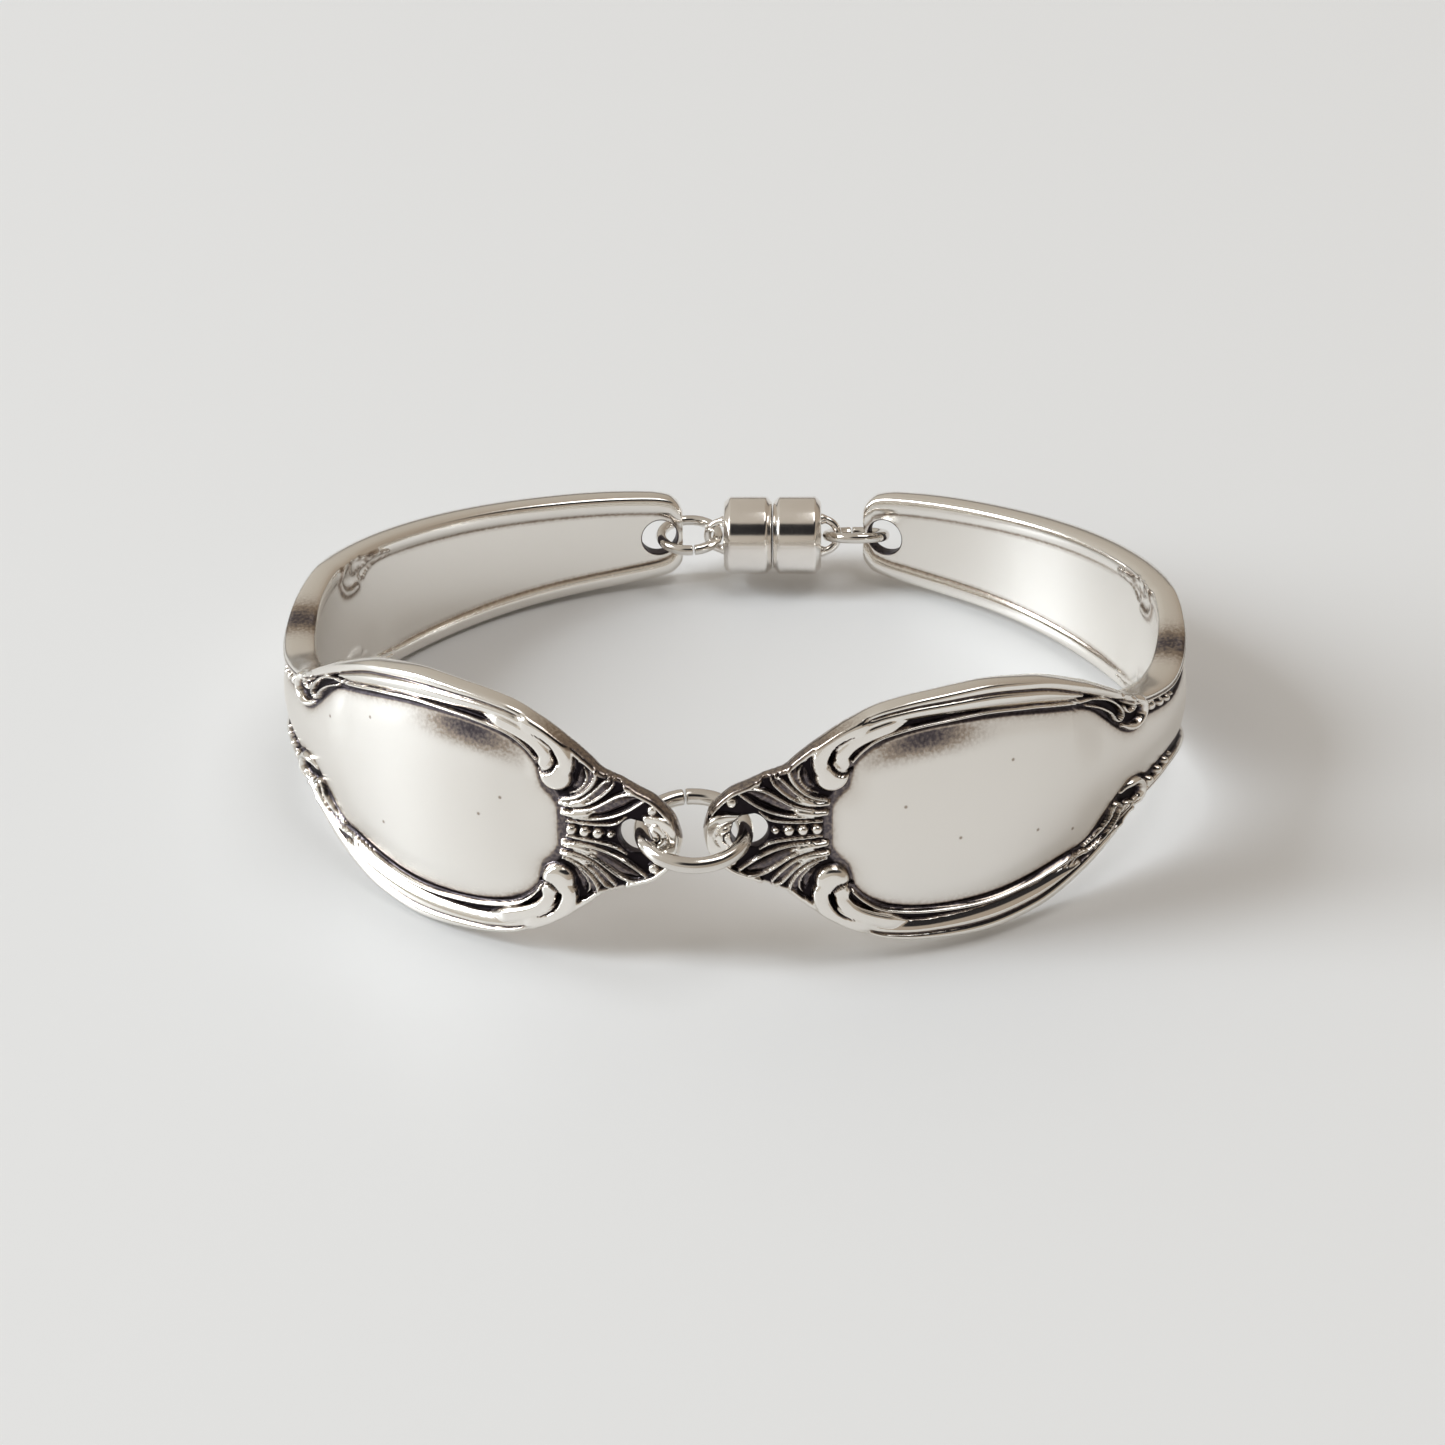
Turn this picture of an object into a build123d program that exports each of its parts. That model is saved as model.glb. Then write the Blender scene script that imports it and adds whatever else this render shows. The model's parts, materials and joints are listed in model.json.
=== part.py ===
# Spoon handle bracelet: two ornate silver spoon handles, bent round the wrist, linked at
# their pierced fan tips by a jump ring and at their stems by a magnetic barrel clasp.
# Everything is drawn flat in the loop's own middle plane (x across, y to the back, z up
# the handles' width), then leaned back until it lies on the table as it would by itself.
from build123d import *
import math
import os

# Handle, in millimetres along its middle line from the fan tip
handle_length = 81.8
fan_width = 9.2
shield_width = 19.4
neck_width = 7.0
stem_width = 11.0
end_width = 6.8
fan_length = 9.0
neck_scroll_start = 28.4
neck_scroll_length = 9.6
stem_scroll_start = 55.6

# Plate, reeds and relief
tip_thickness = 1.15
shield_thickness = 1.25
neck_thickness = 2.3
stem_thickness = 1.5
end_thickness = 1.25
shield_crown = 0.30
reed_height = 0.48
shield_reed_width = 2.7
stem_reed_width = 1.5
inner_reed_height = 0.22
relief_height = 0.42
fan_sink = 0.16
bead_diameter = 0.86
bead_count = 4
knob_diameter = 2.3
knob_height = 0.75
volute_diameter = 1.9

# Holes drilled through the handle
tip_hole_diameter = 2.6
tip_hole_from_tip = 3.2
end_hole_diameter = 2.8
end_hole_from_end = 1.85

# Jump rings: wire, ring across the middle of its wire, split
front_wire = 1.15
front_ring_diameter = 7.2
back_wire = 0.8
back_ring_diameter = 4.4
ring_split = 0.12
front_split_at = 94
back_split_at = 100

# Barrel clasp
clasp_diameter = 6.0
clasp_half_length = 3.7
clasp_gap = 0.10
clasp_bevel = 0.45
magnet_diameter = 4.2
magnet_depth = 2.0
magnet_clearance = 0.04
loop_wire = 0.6
loop_diameter = 2.5

# How the linked pieces lie
heading_left = 15.0
heading_right = 0.7
front_ring_turn = 6.0
front_ring_sag = 14.3
tip_hole_slack = 0.28
end_hole_slack = 0.16
left_ring_tilt = 7.6
right_ring_tilt = -18.0
link_clearance = 0.10

# Outline: share of the handle's length, width that rules there, share of that width
outline_rows = [
    (0.000, fan_width, 0.20),
    (0.006, fan_width, 0.40),
    (0.012, fan_width, 0.53),
    (0.024, fan_width, 0.71),
    (0.037, fan_width, 0.81),
    (0.049, fan_width, 0.905),
    (0.060, fan_width, 0.975),
    (0.068, fan_width, 1.03),
    (0.080, shield_width, 0.575),
    (0.097, shield_width, 0.685),
    (0.122, shield_width, 0.82),
    (0.155, shield_width, 0.935),
    (0.190, shield_width, 0.98),
    (0.235, shield_width, 1.00),
    (0.290, shield_width, 0.935),
    (0.345, shield_width, 0.76),
    (0.380, shield_width, 0.60),
    (0.410, shield_width, 0.455),
    (0.440, neck_width, 1.10),
    (0.475, neck_width, 1.00),
    (0.510, neck_width, 1.08),
    (0.560, stem_width, 0.88),
    (0.610, stem_width, 1.00),
    (0.660, stem_width, 0.98),
    (0.860, stem_width, 0.77),
    (0.970, end_width, 1.03),
    (0.988, end_width, 0.93),
    (0.996, end_width, 0.78),
    (1.000, end_width, 0.60),
]

# Plate thickness: share of length, thickness
thickness_rows = [
    (0.00, tip_thickness),
    (0.08, tip_thickness),
    (0.16, shield_thickness),
    (0.30, shield_thickness),
    (0.47, neck_thickness),
    (0.62, stem_thickness),
    (0.90, stem_thickness),
    (1.00, end_thickness),
]

# Reeded border: share of length, its width, share of the reeds' height
border_rows = [
    (0.00, fan_width * 0.24, 0.0),
    (0.105, fan_width * 0.28, 0.0),
    (0.135, shield_reed_width, 1.0),
    (0.32, shield_reed_width, 1.0),
    (0.37, shield_reed_width * 0.75, 0.8),
    (0.44, neck_width * 0.16, 0.45),
    (0.52, neck_width * 0.16, 0.45),
    (0.62, stem_reed_width, 0.9),
    (1.00, stem_reed_width, 0.9),
]

# Reeds across the border: share of its width from the edge, share of the reeds' height
reed_rows = [
    (0.00, 0.45),
    (0.10, 0.90),
    (0.20, 0.95),
    (0.31, 0.55),
    (0.50, 1.00),
    (0.73, 0.40),
    (0.83, 0.58),
    (0.95, 0.00),
]

# Bend of the handle: share of length, share of the sharpest bend
bend_rows = [
    (0.00, 0.05),
    (0.12, 0.36),
    (0.24, 0.62),
    (0.33, 0.60),
    (0.43, 0.74),
    (0.52, 1.00),
    (0.62, 0.80),
    (0.71, 0.54),
    (0.83, 0.53),
    (1.00, 0.33),
]

# Fan relief, on both sides of the middle: width and height of the ridge in shares of the
# relief height, then points as shares of the fan length and of the half width there
fan_ridges = [
    (0.50, 0.85, [(0.92, 0.09), (0.67, 0.13), (0.54, 0.20), (0.46, 0.36)]),
    (0.55, 1.00, [(0.92, 0.15), (0.72, 0.18), (0.56, 0.32), (0.42, 0.55), (0.27, 0.95)]),
    (0.55, 1.00, [(0.92, 0.23), (0.78, 0.30), (0.62, 0.53), (0.49, 0.79), (0.37, 0.94), (0.27, 0.95)]),
    (0.50, 0.90, [(0.93, 0.28), (0.78, 0.34), (0.67, 0.46), (0.58, 0.73), (0.53, 0.96)]),
    (0.55, 1.00, [(0.94, 0.33), (0.82, 0.40), (0.73, 0.54), (0.65, 0.78), (0.55, 0.97)]),
    (0.60, 1.10, [(0.95, 0.37), (0.84, 0.45), (0.75, 0.62), (0.69, 0.83), (0.70, 0.95), (0.76, 0.95)]),
]
# The C-scroll's outer band, its inner curl, and the volute on the tip
scroll_band = [(0.93, 0.66), (0.92, 0.80), (0.98, 0.90), (1.10, 0.92), (1.28, 0.90)]
scroll_curl = [(1.07, 0.68), (1.09, 0.76), (1.17, 0.79), (1.33, 0.81)]
knob_place = (0.99, 0.56)
volute_turn = 400
# Neck relief: points as shares of the neck scroll's length and of the half width there
neck_ridges = [
    (0.55, 0.85, [(0.00, 0.83), (0.16, 0.80), (0.28, 0.74), (0.33, 0.66)]),
    (0.50, 0.80, [(0.00, 0.78), (0.14, 0.70), (0.28, 0.62)]),
    (0.60, 0.90, [(0.12, 0.88), (0.30, 0.87), (0.43, 0.90), (0.46, 0.80)]),
    (0.75, 1.10, [(0.38, 0.50), (0.46, 0.46), (0.55, 0.54), (0.60, 0.72), (0.57, 0.86), (0.50, 0.88)]),
]
neck_beads = [(0.72, 0.74, 0.80), (0.83, 0.76, 0.72), (0.93, 0.76, 0.60)]

# A ridge across: share of its half width, share of its height
ridge_rows = [(-1.0, -0.7), (0.0, 1.0), (1.0, -0.7)]
# A boss from its foot to its top: share of its radius, share of its height
boss_rows = [(1.0, -0.6), (0.9, 0.5), (0.4, 1.0)]

# Mesh steps: share of length where a zone ends, stations in it
station_zones = [(0.012, 2), (0.13, 9), (0.34, 7), (0.47, 7), (0.66, 7), (0.97, 5), (1.00, 3)]
panel_columns = 3
ridge_steps = 2
volute_steps = 7
boss_sides = 8
curve_steps = 400

# Widest share of the half width that the reeded border and the inner reed may take
border_limit = 0.62
inner_reed_limit = 0.50


def lookup(rows, x, column):
    """A smooth curve through one column of a table, level at its highs and lows."""
    xs = [row[0] for row in rows]
    ys = [row[1] * row[2] if column == "width" else row[column] for row in rows]
    if x <= xs[0]:
        return ys[0]
    if x >= xs[-1]:
        return ys[-1]
    last = len(xs) - 1
    i = max(k for k in range(last) if xs[k] <= x)
    slopes = [(ys[k + 1] - ys[k]) / (xs[k + 1] - xs[k]) for k in range(last)]

    def tangent(k):
        if k == 0 or k == last:
            return slopes[min(k, last - 1)]
        before, after = slopes[k - 1], slopes[k]
        return 0 if before * after <= 0 else 2 * before * after / (before + after)

    h = xs[i + 1] - xs[i]
    u = (x - xs[i]) / h
    rise = ys[i + 1] - ys[i]
    start, end = tangent(i) * h, tangent(i + 1) * h
    return ys[i] + u * start + u * u * (3 * rise - 2 * start - end) + u ** 3 * (start + end - 2 * rise)


def ease(x, low, high):
    """0 below low, 1 above high, smooth between."""
    u = min(1.0, max(0.0, (x - low) / (high - low)))
    return u * u * (3 - 2 * u)


def half_width(s):
    return lookup(outline_rows, s / handle_length, "width") / 2


def bend_path(turn):
    """The middle line from the tip, heading along x and turning to y by the given degrees."""
    step = handle_length / curve_steps
    bends = [lookup(bend_rows, (k + 0.5) / curve_steps, 1) for k in range(curve_steps)]
    scale = math.radians(turn) / sum(bends)
    x, y, angle = 0.0, 0.0, 0.0
    path = [(x, y, angle)]
    for bend in bends:
        middle = angle + bend * scale / 2
        x += step * math.cos(middle)
        y += step * math.sin(middle)
        angle += bend * scale
        path.append((x, y, angle))
    return path


def on_path(path, s):
    """Place and heading on the middle line at s."""
    k = min(curve_steps - 1, max(0, int(s / handle_length * curve_steps)))
    u = s / handle_length * curve_steps - k
    return [a + (b - a) * u for a, b in zip(path[k], path[k + 1])]


def turned(x, y, degrees):
    c, s = math.cos(math.radians(degrees)), math.sin(math.radians(degrees))
    return x * c - y * s, x * s + y * c


# Where the two handles start, from the front ring's wire at each tip hole
ring_radius = front_ring_diameter / 2
cross_x, cross_y = turned(ring_radius, 0, front_ring_turn)


def hole_places(path, side, heading):
    """Plan places of one handle's tip and end hole; side is 1 to the right, -1 to the left."""
    hole_x, hole_y, _ = on_path(path, tip_hole_from_tip)
    tip_x, tip_y = turned(-hole_x + tip_hole_slack, -hole_y, heading)
    end_x, end_y, _ = on_path(path, handle_length - end_hole_from_end)
    end_x, end_y = turned(end_x, end_y, heading)
    tip = (side * (abs(cross_x) + tip_x), side * cross_y + tip_y)
    return tip, (tip[0] + side * end_x, tip[1] + end_y)


# The chain across the back, hole to hole: slack, ring, loop and barrel
loop_reach = back_wire + 2 * link_clearance + loop_wire / 2
loop_to_cap = back_wire / 2 + link_clearance
chain_side = end_hole_slack + back_ring_diameter + loop_to_cap
barrel_length = 2 * clasp_half_length + clasp_gap
chain_length = barrel_length + 2 * chain_side


def end_gap(turn):
    path = bend_path(turn)
    left = hole_places(path, -1, heading_left)[1]
    right = hole_places(path, 1, heading_right)[1]
    return right[0] - left[0], math.dist(left, right)


# The handles are bent until their ends stand as far apart as the chain is long
low_turn, high_turn = 90.0, 230.0
for _ in range(30):
    handle_turn = (low_turn + high_turn) / 2
    across, apart = end_gap(handle_turn)
    if across > 0 and apart > chain_length:
        low_turn = handle_turn
    else:
        high_turn = handle_turn
path = bend_path(handle_turn)
left_tip, left_end = hole_places(path, -1, heading_left)
right_tip, right_end = hole_places(path, 1, heading_right)


def panel_start(across):
    """Where the satin panel starts behind the fan, further back at its sides."""
    return fan_length * (1 + 0.14 * ease(across, 0.25, 0.60))


def border_width(s):
    return min(lookup(border_rows, s / handle_length, 1), border_limit * half_width(s))


def inner_reed_width(s):
    return min(stem_reed_width, inner_reed_limit * half_width(s))


def outer_height(s, t):
    """Height of the outer face over the middle surface."""
    x = s / handle_length
    half = half_width(s)
    border = border_width(s)
    edge = half - abs(t)
    reeds = reed_height * lookup(border_rows, x, 2) * lookup(reed_rows, edge / border, 1)
    crowned = ease(s, fan_length, 1.6 * fan_length) * (1 - ease(x, 0.9, 1.0))
    crown = shield_crown * crowned * (1 - min(1, abs(t) / (half - 0.9 * border)) ** 2)
    panel = panel_start(min(1.0, abs(t) / half))
    sunk = fan_sink * (1 - ease(s, 0.97 * panel, panel)) * ease(edge, 0.0, border / 6)
    return lookup(thickness_rows, x, 1) / 2 + reeds + crown - sunk


def inner_height(s, t):
    """Depth of the inner face under the middle surface, with a single reed on its edge."""
    edge = half_width(s) - abs(t)
    reed = inner_reed_height * max(0.0, 1 - (2 * edge / inner_reed_width(s) - 1) ** 2)
    return lookup(thickness_rows, s / handle_length, 1) / 2 - inner_reed_height + reed * ease(s, 0, fan_length)


def face_height(s, t, face):
    """Distance of the outer face (1) or the inner face (-1) from the middle surface."""
    within = max(-half_width(s), min(half_width(s), t))
    return outer_height(s, within) if face > 0 else inner_height(s, within)


def surface(s, t, height):
    """Point at s along, t up and height out from the middle surface."""
    x, y, angle = on_path(path, s)
    return Vector(x + height * math.sin(angle), y - height * math.cos(angle), t)


def stations():
    """Places of the mesh's cross-sections along the handle."""
    places, start = [0.0], 0.0
    for end, count in station_zones:
        places += [(start + (end - start) * (k + 1) / count) * handle_length for k in range(count)]
        start = end
    return places


def section(s):
    """One closed loop of points: the outer face from top to bottom, then the inner face."""
    half = half_width(s)
    border = border_width(s)
    top = [half - border * row[0] for row in reed_rows]
    top += [(half - border) * (1 - k / panel_columns) for k in range(1, panel_columns)]
    outer = top + [0.0] + [-t for t in reversed(top)]
    reed = inner_reed_width(s)
    low = [half, half - reed / 2, half - reed, (half - reed) / 2]
    inner = [-t for t in low] + [0.0] + low[::-1]
    points = [surface(s, t, outer_height(s, t)) for t in outer]
    return points + [surface(s, t, -inner_height(s, t)) for t in inner]


def closed_solid(loops, flat_ends=True):
    """A faceted solid through loops of as many points each, its ends one face or a fan."""
    faces = []
    count = len(loops[0])
    for loop in (loops[0], loops[-1]):
        fan = [[loop[0], loop[k], loop[k + 1]] for k in range(1, count - 1)]
        faces += [Face(Wire.make_polygon(corners)) for corners in ([loop] if flat_ends else fan)]
    for one, two in zip(loops, loops[1:]):
        for k in range(count):
            n = (k + 1) % count
            faces.append(Face(Wire.make_polygon([one[k], one[n], two[n]])))
            faces.append(Face(Wire.make_polygon([one[k], two[n], two[k]])))
    solid = Solid(Shell(faces))
    return solid if solid.volume > 0 else Solid(Shell([-face for face in faces]))


def rounded(points, steps):
    """Points along a smooth curve through a short list of them."""
    ends = [points[0]] + points + [points[-1]]
    result = []
    for a, b, c, d in zip(ends, ends[1:], ends[2:], ends[3:]):
        for k in range(steps):
            u = k / steps
            result.append(tuple(
                0.5 * (2 * q + (r - p) * u + (2 * p - 5 * q + 4 * r - w) * u * u + (3 * q - p - 3 * r + w) * u ** 3)
                for p, q, r, w in zip(a, b, c, d)))
    return result + [points[-1]]


def ridge(places, width, height, face=1):
    """A raised band along (s, t) places on a face, tapering at both ends."""
    line = rounded(places, ridge_steps)
    last = len(line) - 1
    loops = []
    for k, (s, t) in enumerate(line):
        before, after = line[max(0, k - 1)], line[min(last, k + 1)]
        ds, dt = after[0] - before[0], after[1] - before[1]
        size = math.hypot(ds, dt)
        taper = 0.45 if k in (0, last) else 1.0
        reach = taper * width / 2
        level = face_height(s, t, face)
        loops.append([surface(s - dt / size * share * reach, t + ds / size * share * reach,
                              face * (level + lift * height * taper)) for share, lift in ridge_rows])
    return closed_solid(loops, flat_ends=False)


def boss(s, t, diameter, height, face=1):
    """A low round bead or knob on a face, its foot sunk in the plate."""
    level = face_height(s, t, face)
    angles = [2 * math.pi * k / boss_sides for k in range(boss_sides)]
    loops = []
    for share, lift in boss_rows:
        radius = share * diameter / 2
        loops.append([surface(s + radius * math.cos(angle), t + radius * math.sin(angle),
                              face * (level + lift * height)) for angle in angles])
    return closed_solid(loops, flat_ends=False)


def fan_place(along, across):
    s = along * fan_length
    return s, across * half_width(s)


def neck_place(along, across, start, direction):
    s = start + direction * along * neck_scroll_length
    return s, across * half_width(s)


def fan_relief(side):
    """Leaves, stem lines, C-scroll and knob on one side of the fan."""
    pieces = []
    bands = [(width, height, points) for width, height, points in fan_ridges]
    bands += [(band_width, 1.2, points) for band_width, points in ((1.0, scroll_band), (0.8, scroll_curl))]
    for width, height, points in bands:
        places = [(s, side * t) for s, t in (fan_place(*point) for point in points)]
        pieces.append(ridge(places, width, height * relief_height))
    s, t = fan_place(*knob_place)
    pieces.append(boss(s, side * t, knob_diameter, knob_height))
    return pieces


def neck_relief(side, start, direction, face):
    """The split reeds, C-scroll and three beads on one edge beside the neck."""
    pieces = []
    for width, height, points in neck_ridges:
        places = [(s, side * t) for s, t in (neck_place(*point, start, direction) for point in points)]
        pieces.append(ridge(places, width, height * relief_height, face))
    for along, across, size in neck_beads:
        s, t = neck_place(along, across, start, direction)
        pieces.append(boss(s, side * t, size * bead_diameter, size * bead_diameter / 2, face))
    return pieces


def relief():
    """Every raised ornament of the handle."""
    pieces = []
    for side in (1, -1):
        pieces += fan_relief(side)
        pieces += neck_relief(side, neck_scroll_start, 1, 1)
        pieces += neck_relief(side, stem_scroll_start, -1, 1)
        pieces += neck_relief(side, stem_scroll_start, -1, -1)
    first = tip_hole_from_tip + tip_hole_diameter / 2 + 0.6 * bead_diameter
    last = fan_length - 1.2 * bead_diameter
    for k in range(bead_count):
        pieces.append(boss(first + (last - first) * k / (bead_count - 1), 0, bead_diameter, bead_diameter / 2))
    radius = volute_diameter / 2
    centre = tip_hole_from_tip - tip_hole_diameter / 2 - radius
    spiral = []
    for k in range(volute_steps):
        angle = math.radians(-70 - volute_turn * k / (volute_steps - 1))
        reach = radius * (1 - 0.72 * k / (volute_steps - 1))
        spiral.append((centre + reach * math.cos(angle), reach * math.sin(angle)))
    pieces.append(ridge(spiral, 0.22 * volute_diameter, 0.8 * relief_height))
    return pieces


def handle_solid():
    """The whole handle from its tip at the origin: plate, reeds, relief and two holes."""
    plate = closed_solid([section(s) for s in stations()])
    body = plate.fuse(*relief())
    for s, diameter in ((tip_hole_from_tip, tip_hole_diameter),
                        (handle_length - end_hole_from_end, end_hole_diameter)):
        x, y, angle = on_path(path, s)
        drill = Plane(origin=(x, y, 0), x_dir=(0, 0, 1), z_dir=(math.sin(angle), -math.cos(angle), 0))
        body = body - drill * Cylinder(diameter / 2, 4 * neck_thickness)
    return body


def jump_ring(diameter, wire, split_angle):
    """A round wire ring about z, with a fine split at the given angle."""
    gap = math.degrees(ring_split / (diameter / 2))
    tube = Plane.XZ * Pos(diameter / 2, 0) * Circle(wire / 2)
    ring = revolve(tube, Axis.Z, 360 - gap)
    return Rot(0, 0, split_angle + gap / 2) * ring


def clasp_half():
    """A cup about x with its mouth at the origin facing -x, and its soldered loop."""
    radius = clasp_diameter / 2
    half = [(0, 0), (0, radius - clasp_bevel), (clasp_bevel, radius),
            (clasp_half_length - clasp_bevel, radius), (clasp_half_length, radius - clasp_bevel),
            (clasp_half_length, 0)]
    cup = revolve(make_face(Polyline(*half, close=True)), Axis.X, 360)
    pocket_length = magnet_depth + magnet_clearance
    pocket = Pos(pocket_length / 2, 0, 0) * Rot(0, 90, 0) * Cylinder(
        magnet_diameter / 2 + magnet_clearance, pocket_length)
    loop_centre = clasp_half_length + loop_reach - loop_diameter / 2
    loop = Pos(loop_centre, 0, 0) * Rot(90, 0, 0) * Torus(loop_diameter / 2, loop_wire / 2)
    loop = loop - Pos(clasp_half_length / 2, 0, 0) * Box(clasp_half_length, clasp_diameter, clasp_diameter)
    return (cup - pocket) + loop


def plan_frame(origin, toward, tilt):
    """A frame with x toward a plan direction and z turned back about it by tilt degrees."""
    length = math.hypot(*toward)
    ux, uy = toward[0] / length, toward[1] / length
    c, s = math.cos(math.radians(tilt)), math.sin(math.radians(tilt))
    return Plane(origin=(*origin, 0), x_dir=(ux, uy, 0), z_dir=(uy * s, -ux * s, c))


def build():
    """All pieces in the loop's middle plane."""
    handle = handle_solid()
    pieces = {}
    pieces["handle_right"] = Pos(*right_tip, 0) * Rot(0, 0, heading_right) * handle
    pieces["handle_left"] = Pos(*left_tip, 0) * Rot(0, 0, -heading_left) * Rot(0, 180, 0) * handle
    ring_plane = plan_frame((0, 0), (cross_x, cross_y), front_ring_sag)
    pieces["front_ring"] = ring_plane * jump_ring(front_ring_diameter, front_wire, front_split_at)
    axis = (right_end[0] - left_end[0], right_end[1] - left_end[1])
    length = math.hypot(*axis)
    ux, uy = axis[0] / length, axis[1] / length
    for name, side, end, tilt in (("left", -1, left_end, left_ring_tilt),
                                  ("right", 1, right_end, right_ring_tilt)):
        wire = (end[0] - side * ux * end_hole_slack, end[1] - side * uy * end_hole_slack)
        radius = back_ring_diameter / 2
        centre = (wire[0] - side * ux * radius, wire[1] - side * uy * radius)
        frame = plan_frame(centre, (side * ux, side * uy), side * tilt)
        pieces["back_ring_" + name] = frame * jump_ring(back_ring_diameter, back_wire, back_split_at)
        reach = chain_side + clasp_half_length
        mouth = (end[0] - side * ux * reach, end[1] - side * uy * reach)
        frame = plan_frame(mouth, (side * ux, side * uy), side * tilt)
        pieces["clasp_half_" + name] = frame * clasp_half()
        magnet = Pos(magnet_depth / 2, 0, 0) * Rot(0, 90, 0) * Cylinder(magnet_diameter / 2, magnet_depth)
        pieces["magnet_" + name] = frame * magnet
    return pieces


def lean_angle():
    """The lean at which the shields' lower edges and the stems' lower edges touch one table."""
    edges = []
    for tip, heading in ((left_tip, heading_left), (right_tip, heading_right)):
        for s in stations():
            x, y, _ = on_path(path, s)
            edges.append((s, tip[1] + turned(x, y, heading)[1], -half_width(s)))
    low, high = -10.0, 30.0
    for _ in range(40):
        lean = (low + high) / 2
        c, k = math.cos(math.radians(lean)), math.sin(math.radians(lean))
        front = min(z * c - y * k for s, y, z in edges if s < 0.5 * handle_length)
        back = min(z * c - y * k for s, y, z in edges if s >= 0.5 * handle_length)
        low, high = (low, lean) if back < front else (lean, high)
    return lean


# Lean the loop onto the table and stand its lowest middle point at the origin
pieces = build()
lean = lean_angle()
pieces = {name: Rot(-lean, 0, 0) * piece for name, piece in pieces.items()}
box = Compound(children=[Part() + piece for piece in pieces.values()]).bounding_box()
shift = Pos(-(box.min.X + box.max.X) / 2, -(box.min.Y + box.max.Y) / 2, -box.min.Z)
os.makedirs("parts", exist_ok=True)
for name, piece in pieces.items():
    export_step(shift * piece, "parts/" + name + ".step")
front_pivots = [shift * Rot(-lean, 0, 0) * Pos(side * cross_x, side * cross_y, 0) for side in (-1, 1)]
print("turn", round(handle_turn, 1), "lean", round(lean, 2), "size", box.size)
print("front ring in the left and right handle", [pivot.position for pivot in front_pivots])
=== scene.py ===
import json
import math
import bmesh
import bpy
import numpy as np
from mathutils import Matrix, Vector


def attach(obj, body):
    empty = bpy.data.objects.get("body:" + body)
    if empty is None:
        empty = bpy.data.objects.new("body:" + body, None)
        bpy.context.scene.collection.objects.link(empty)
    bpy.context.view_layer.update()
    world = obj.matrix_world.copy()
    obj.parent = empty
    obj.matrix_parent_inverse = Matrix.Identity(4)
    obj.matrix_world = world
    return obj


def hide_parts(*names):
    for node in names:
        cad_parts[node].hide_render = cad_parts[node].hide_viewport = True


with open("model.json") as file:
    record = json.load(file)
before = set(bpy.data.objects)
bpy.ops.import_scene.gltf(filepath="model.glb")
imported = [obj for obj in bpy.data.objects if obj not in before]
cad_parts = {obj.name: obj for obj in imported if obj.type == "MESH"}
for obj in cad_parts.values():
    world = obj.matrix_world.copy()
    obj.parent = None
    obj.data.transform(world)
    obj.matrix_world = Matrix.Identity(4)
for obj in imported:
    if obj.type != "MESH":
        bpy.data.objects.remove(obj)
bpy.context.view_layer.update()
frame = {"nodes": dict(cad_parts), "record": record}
mm = 0.001

# lengths are in millimetres: s along the handle from its tip, t across it, h out from its middle surface
handle = {
    "length": 81.8,
    "turn": 157.65,  # degrees from tip to end
    "fan": 9.2, "shield": 19.4, "neck": 7.0, "stem": 11.0, "end": 6.8,  # full widths
    "rimRound": 0.34,
    "tipRound": 0.5,
    "tipClose": 0.35,  # length over which both faces meet at the tip
    "endRound": 0.25,
    "endEdge": 0.35,  # share of the thickness left at the end
    "tipHole": (3.2, 2.6),  # place along the handle, diameter
    "endHole": (79.95, 2.8),
    "holeRound": 0.12,
    "crown": 0.30,
    "reedHeight": 0.48,
    "innerReedHeight": 0.22,
    "thinReedHeight": 0.30, "thinReedHalf": 0.18,  # half its width
    "innerReedWidth": 1.5,
    "panelDroop": 0.10,  # depth of the panel's edge below its middle
    "sink": 0.17,  # depth of the blackened ground beside the panel
    "heading": {-1: 15.0, 1: 0.7},  # degrees, left and right
    "tipSlack": 0.28,
}

print("outline, bend and thickness of the handles")


# a smooth curve through (place, value) rows, level at its highs and lows:
# a cubic between neighbours, with the harmonic mean of the two slopes at each row
def smoothTable(rows, x):
    xs, ys = np.array(rows, float).T
    step, rise = np.diff(xs), np.diff(ys)
    slope = rise / step
    product = slope[:-1] * slope[1:]
    mean = 2 * product / np.where(product > 0, slope[:-1] + slope[1:], 1)
    tangent = np.concatenate(([slope[0]], np.where(product > 0, mean, 0), [slope[-1]]))
    x = np.clip(x, xs[0], xs[-1])
    i = np.clip(np.searchsorted(xs, x, side="right") - 1, 0, len(step) - 1)
    u = (x - xs[i]) / step[i]
    start, end = tangent[i] * step[i], tangent[i + 1] * step[i]
    return ys[i] + u * start + u * u * (3 * rise[i] - 2 * start - end) + u ** 3 * (start + end - 2 * rise[i])


# 0 at low, 1 at high, smooth between; low may be the larger
def ease(x, low, high):
    u = np.clip((x - low) / (high - low), 0, 1)
    return u * u * (3 - 2 * u)


# 0 at 0, 1 at 1, rising on a quarter circle
def quarter(x):
    return np.sqrt(1 - (1 - np.clip(x, 0, 1)) ** 2)


# 1 at the middle, dying away to both sides
def bell(x, middle, width):
    return np.exp(-((x - middle) / width) ** 2)


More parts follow.
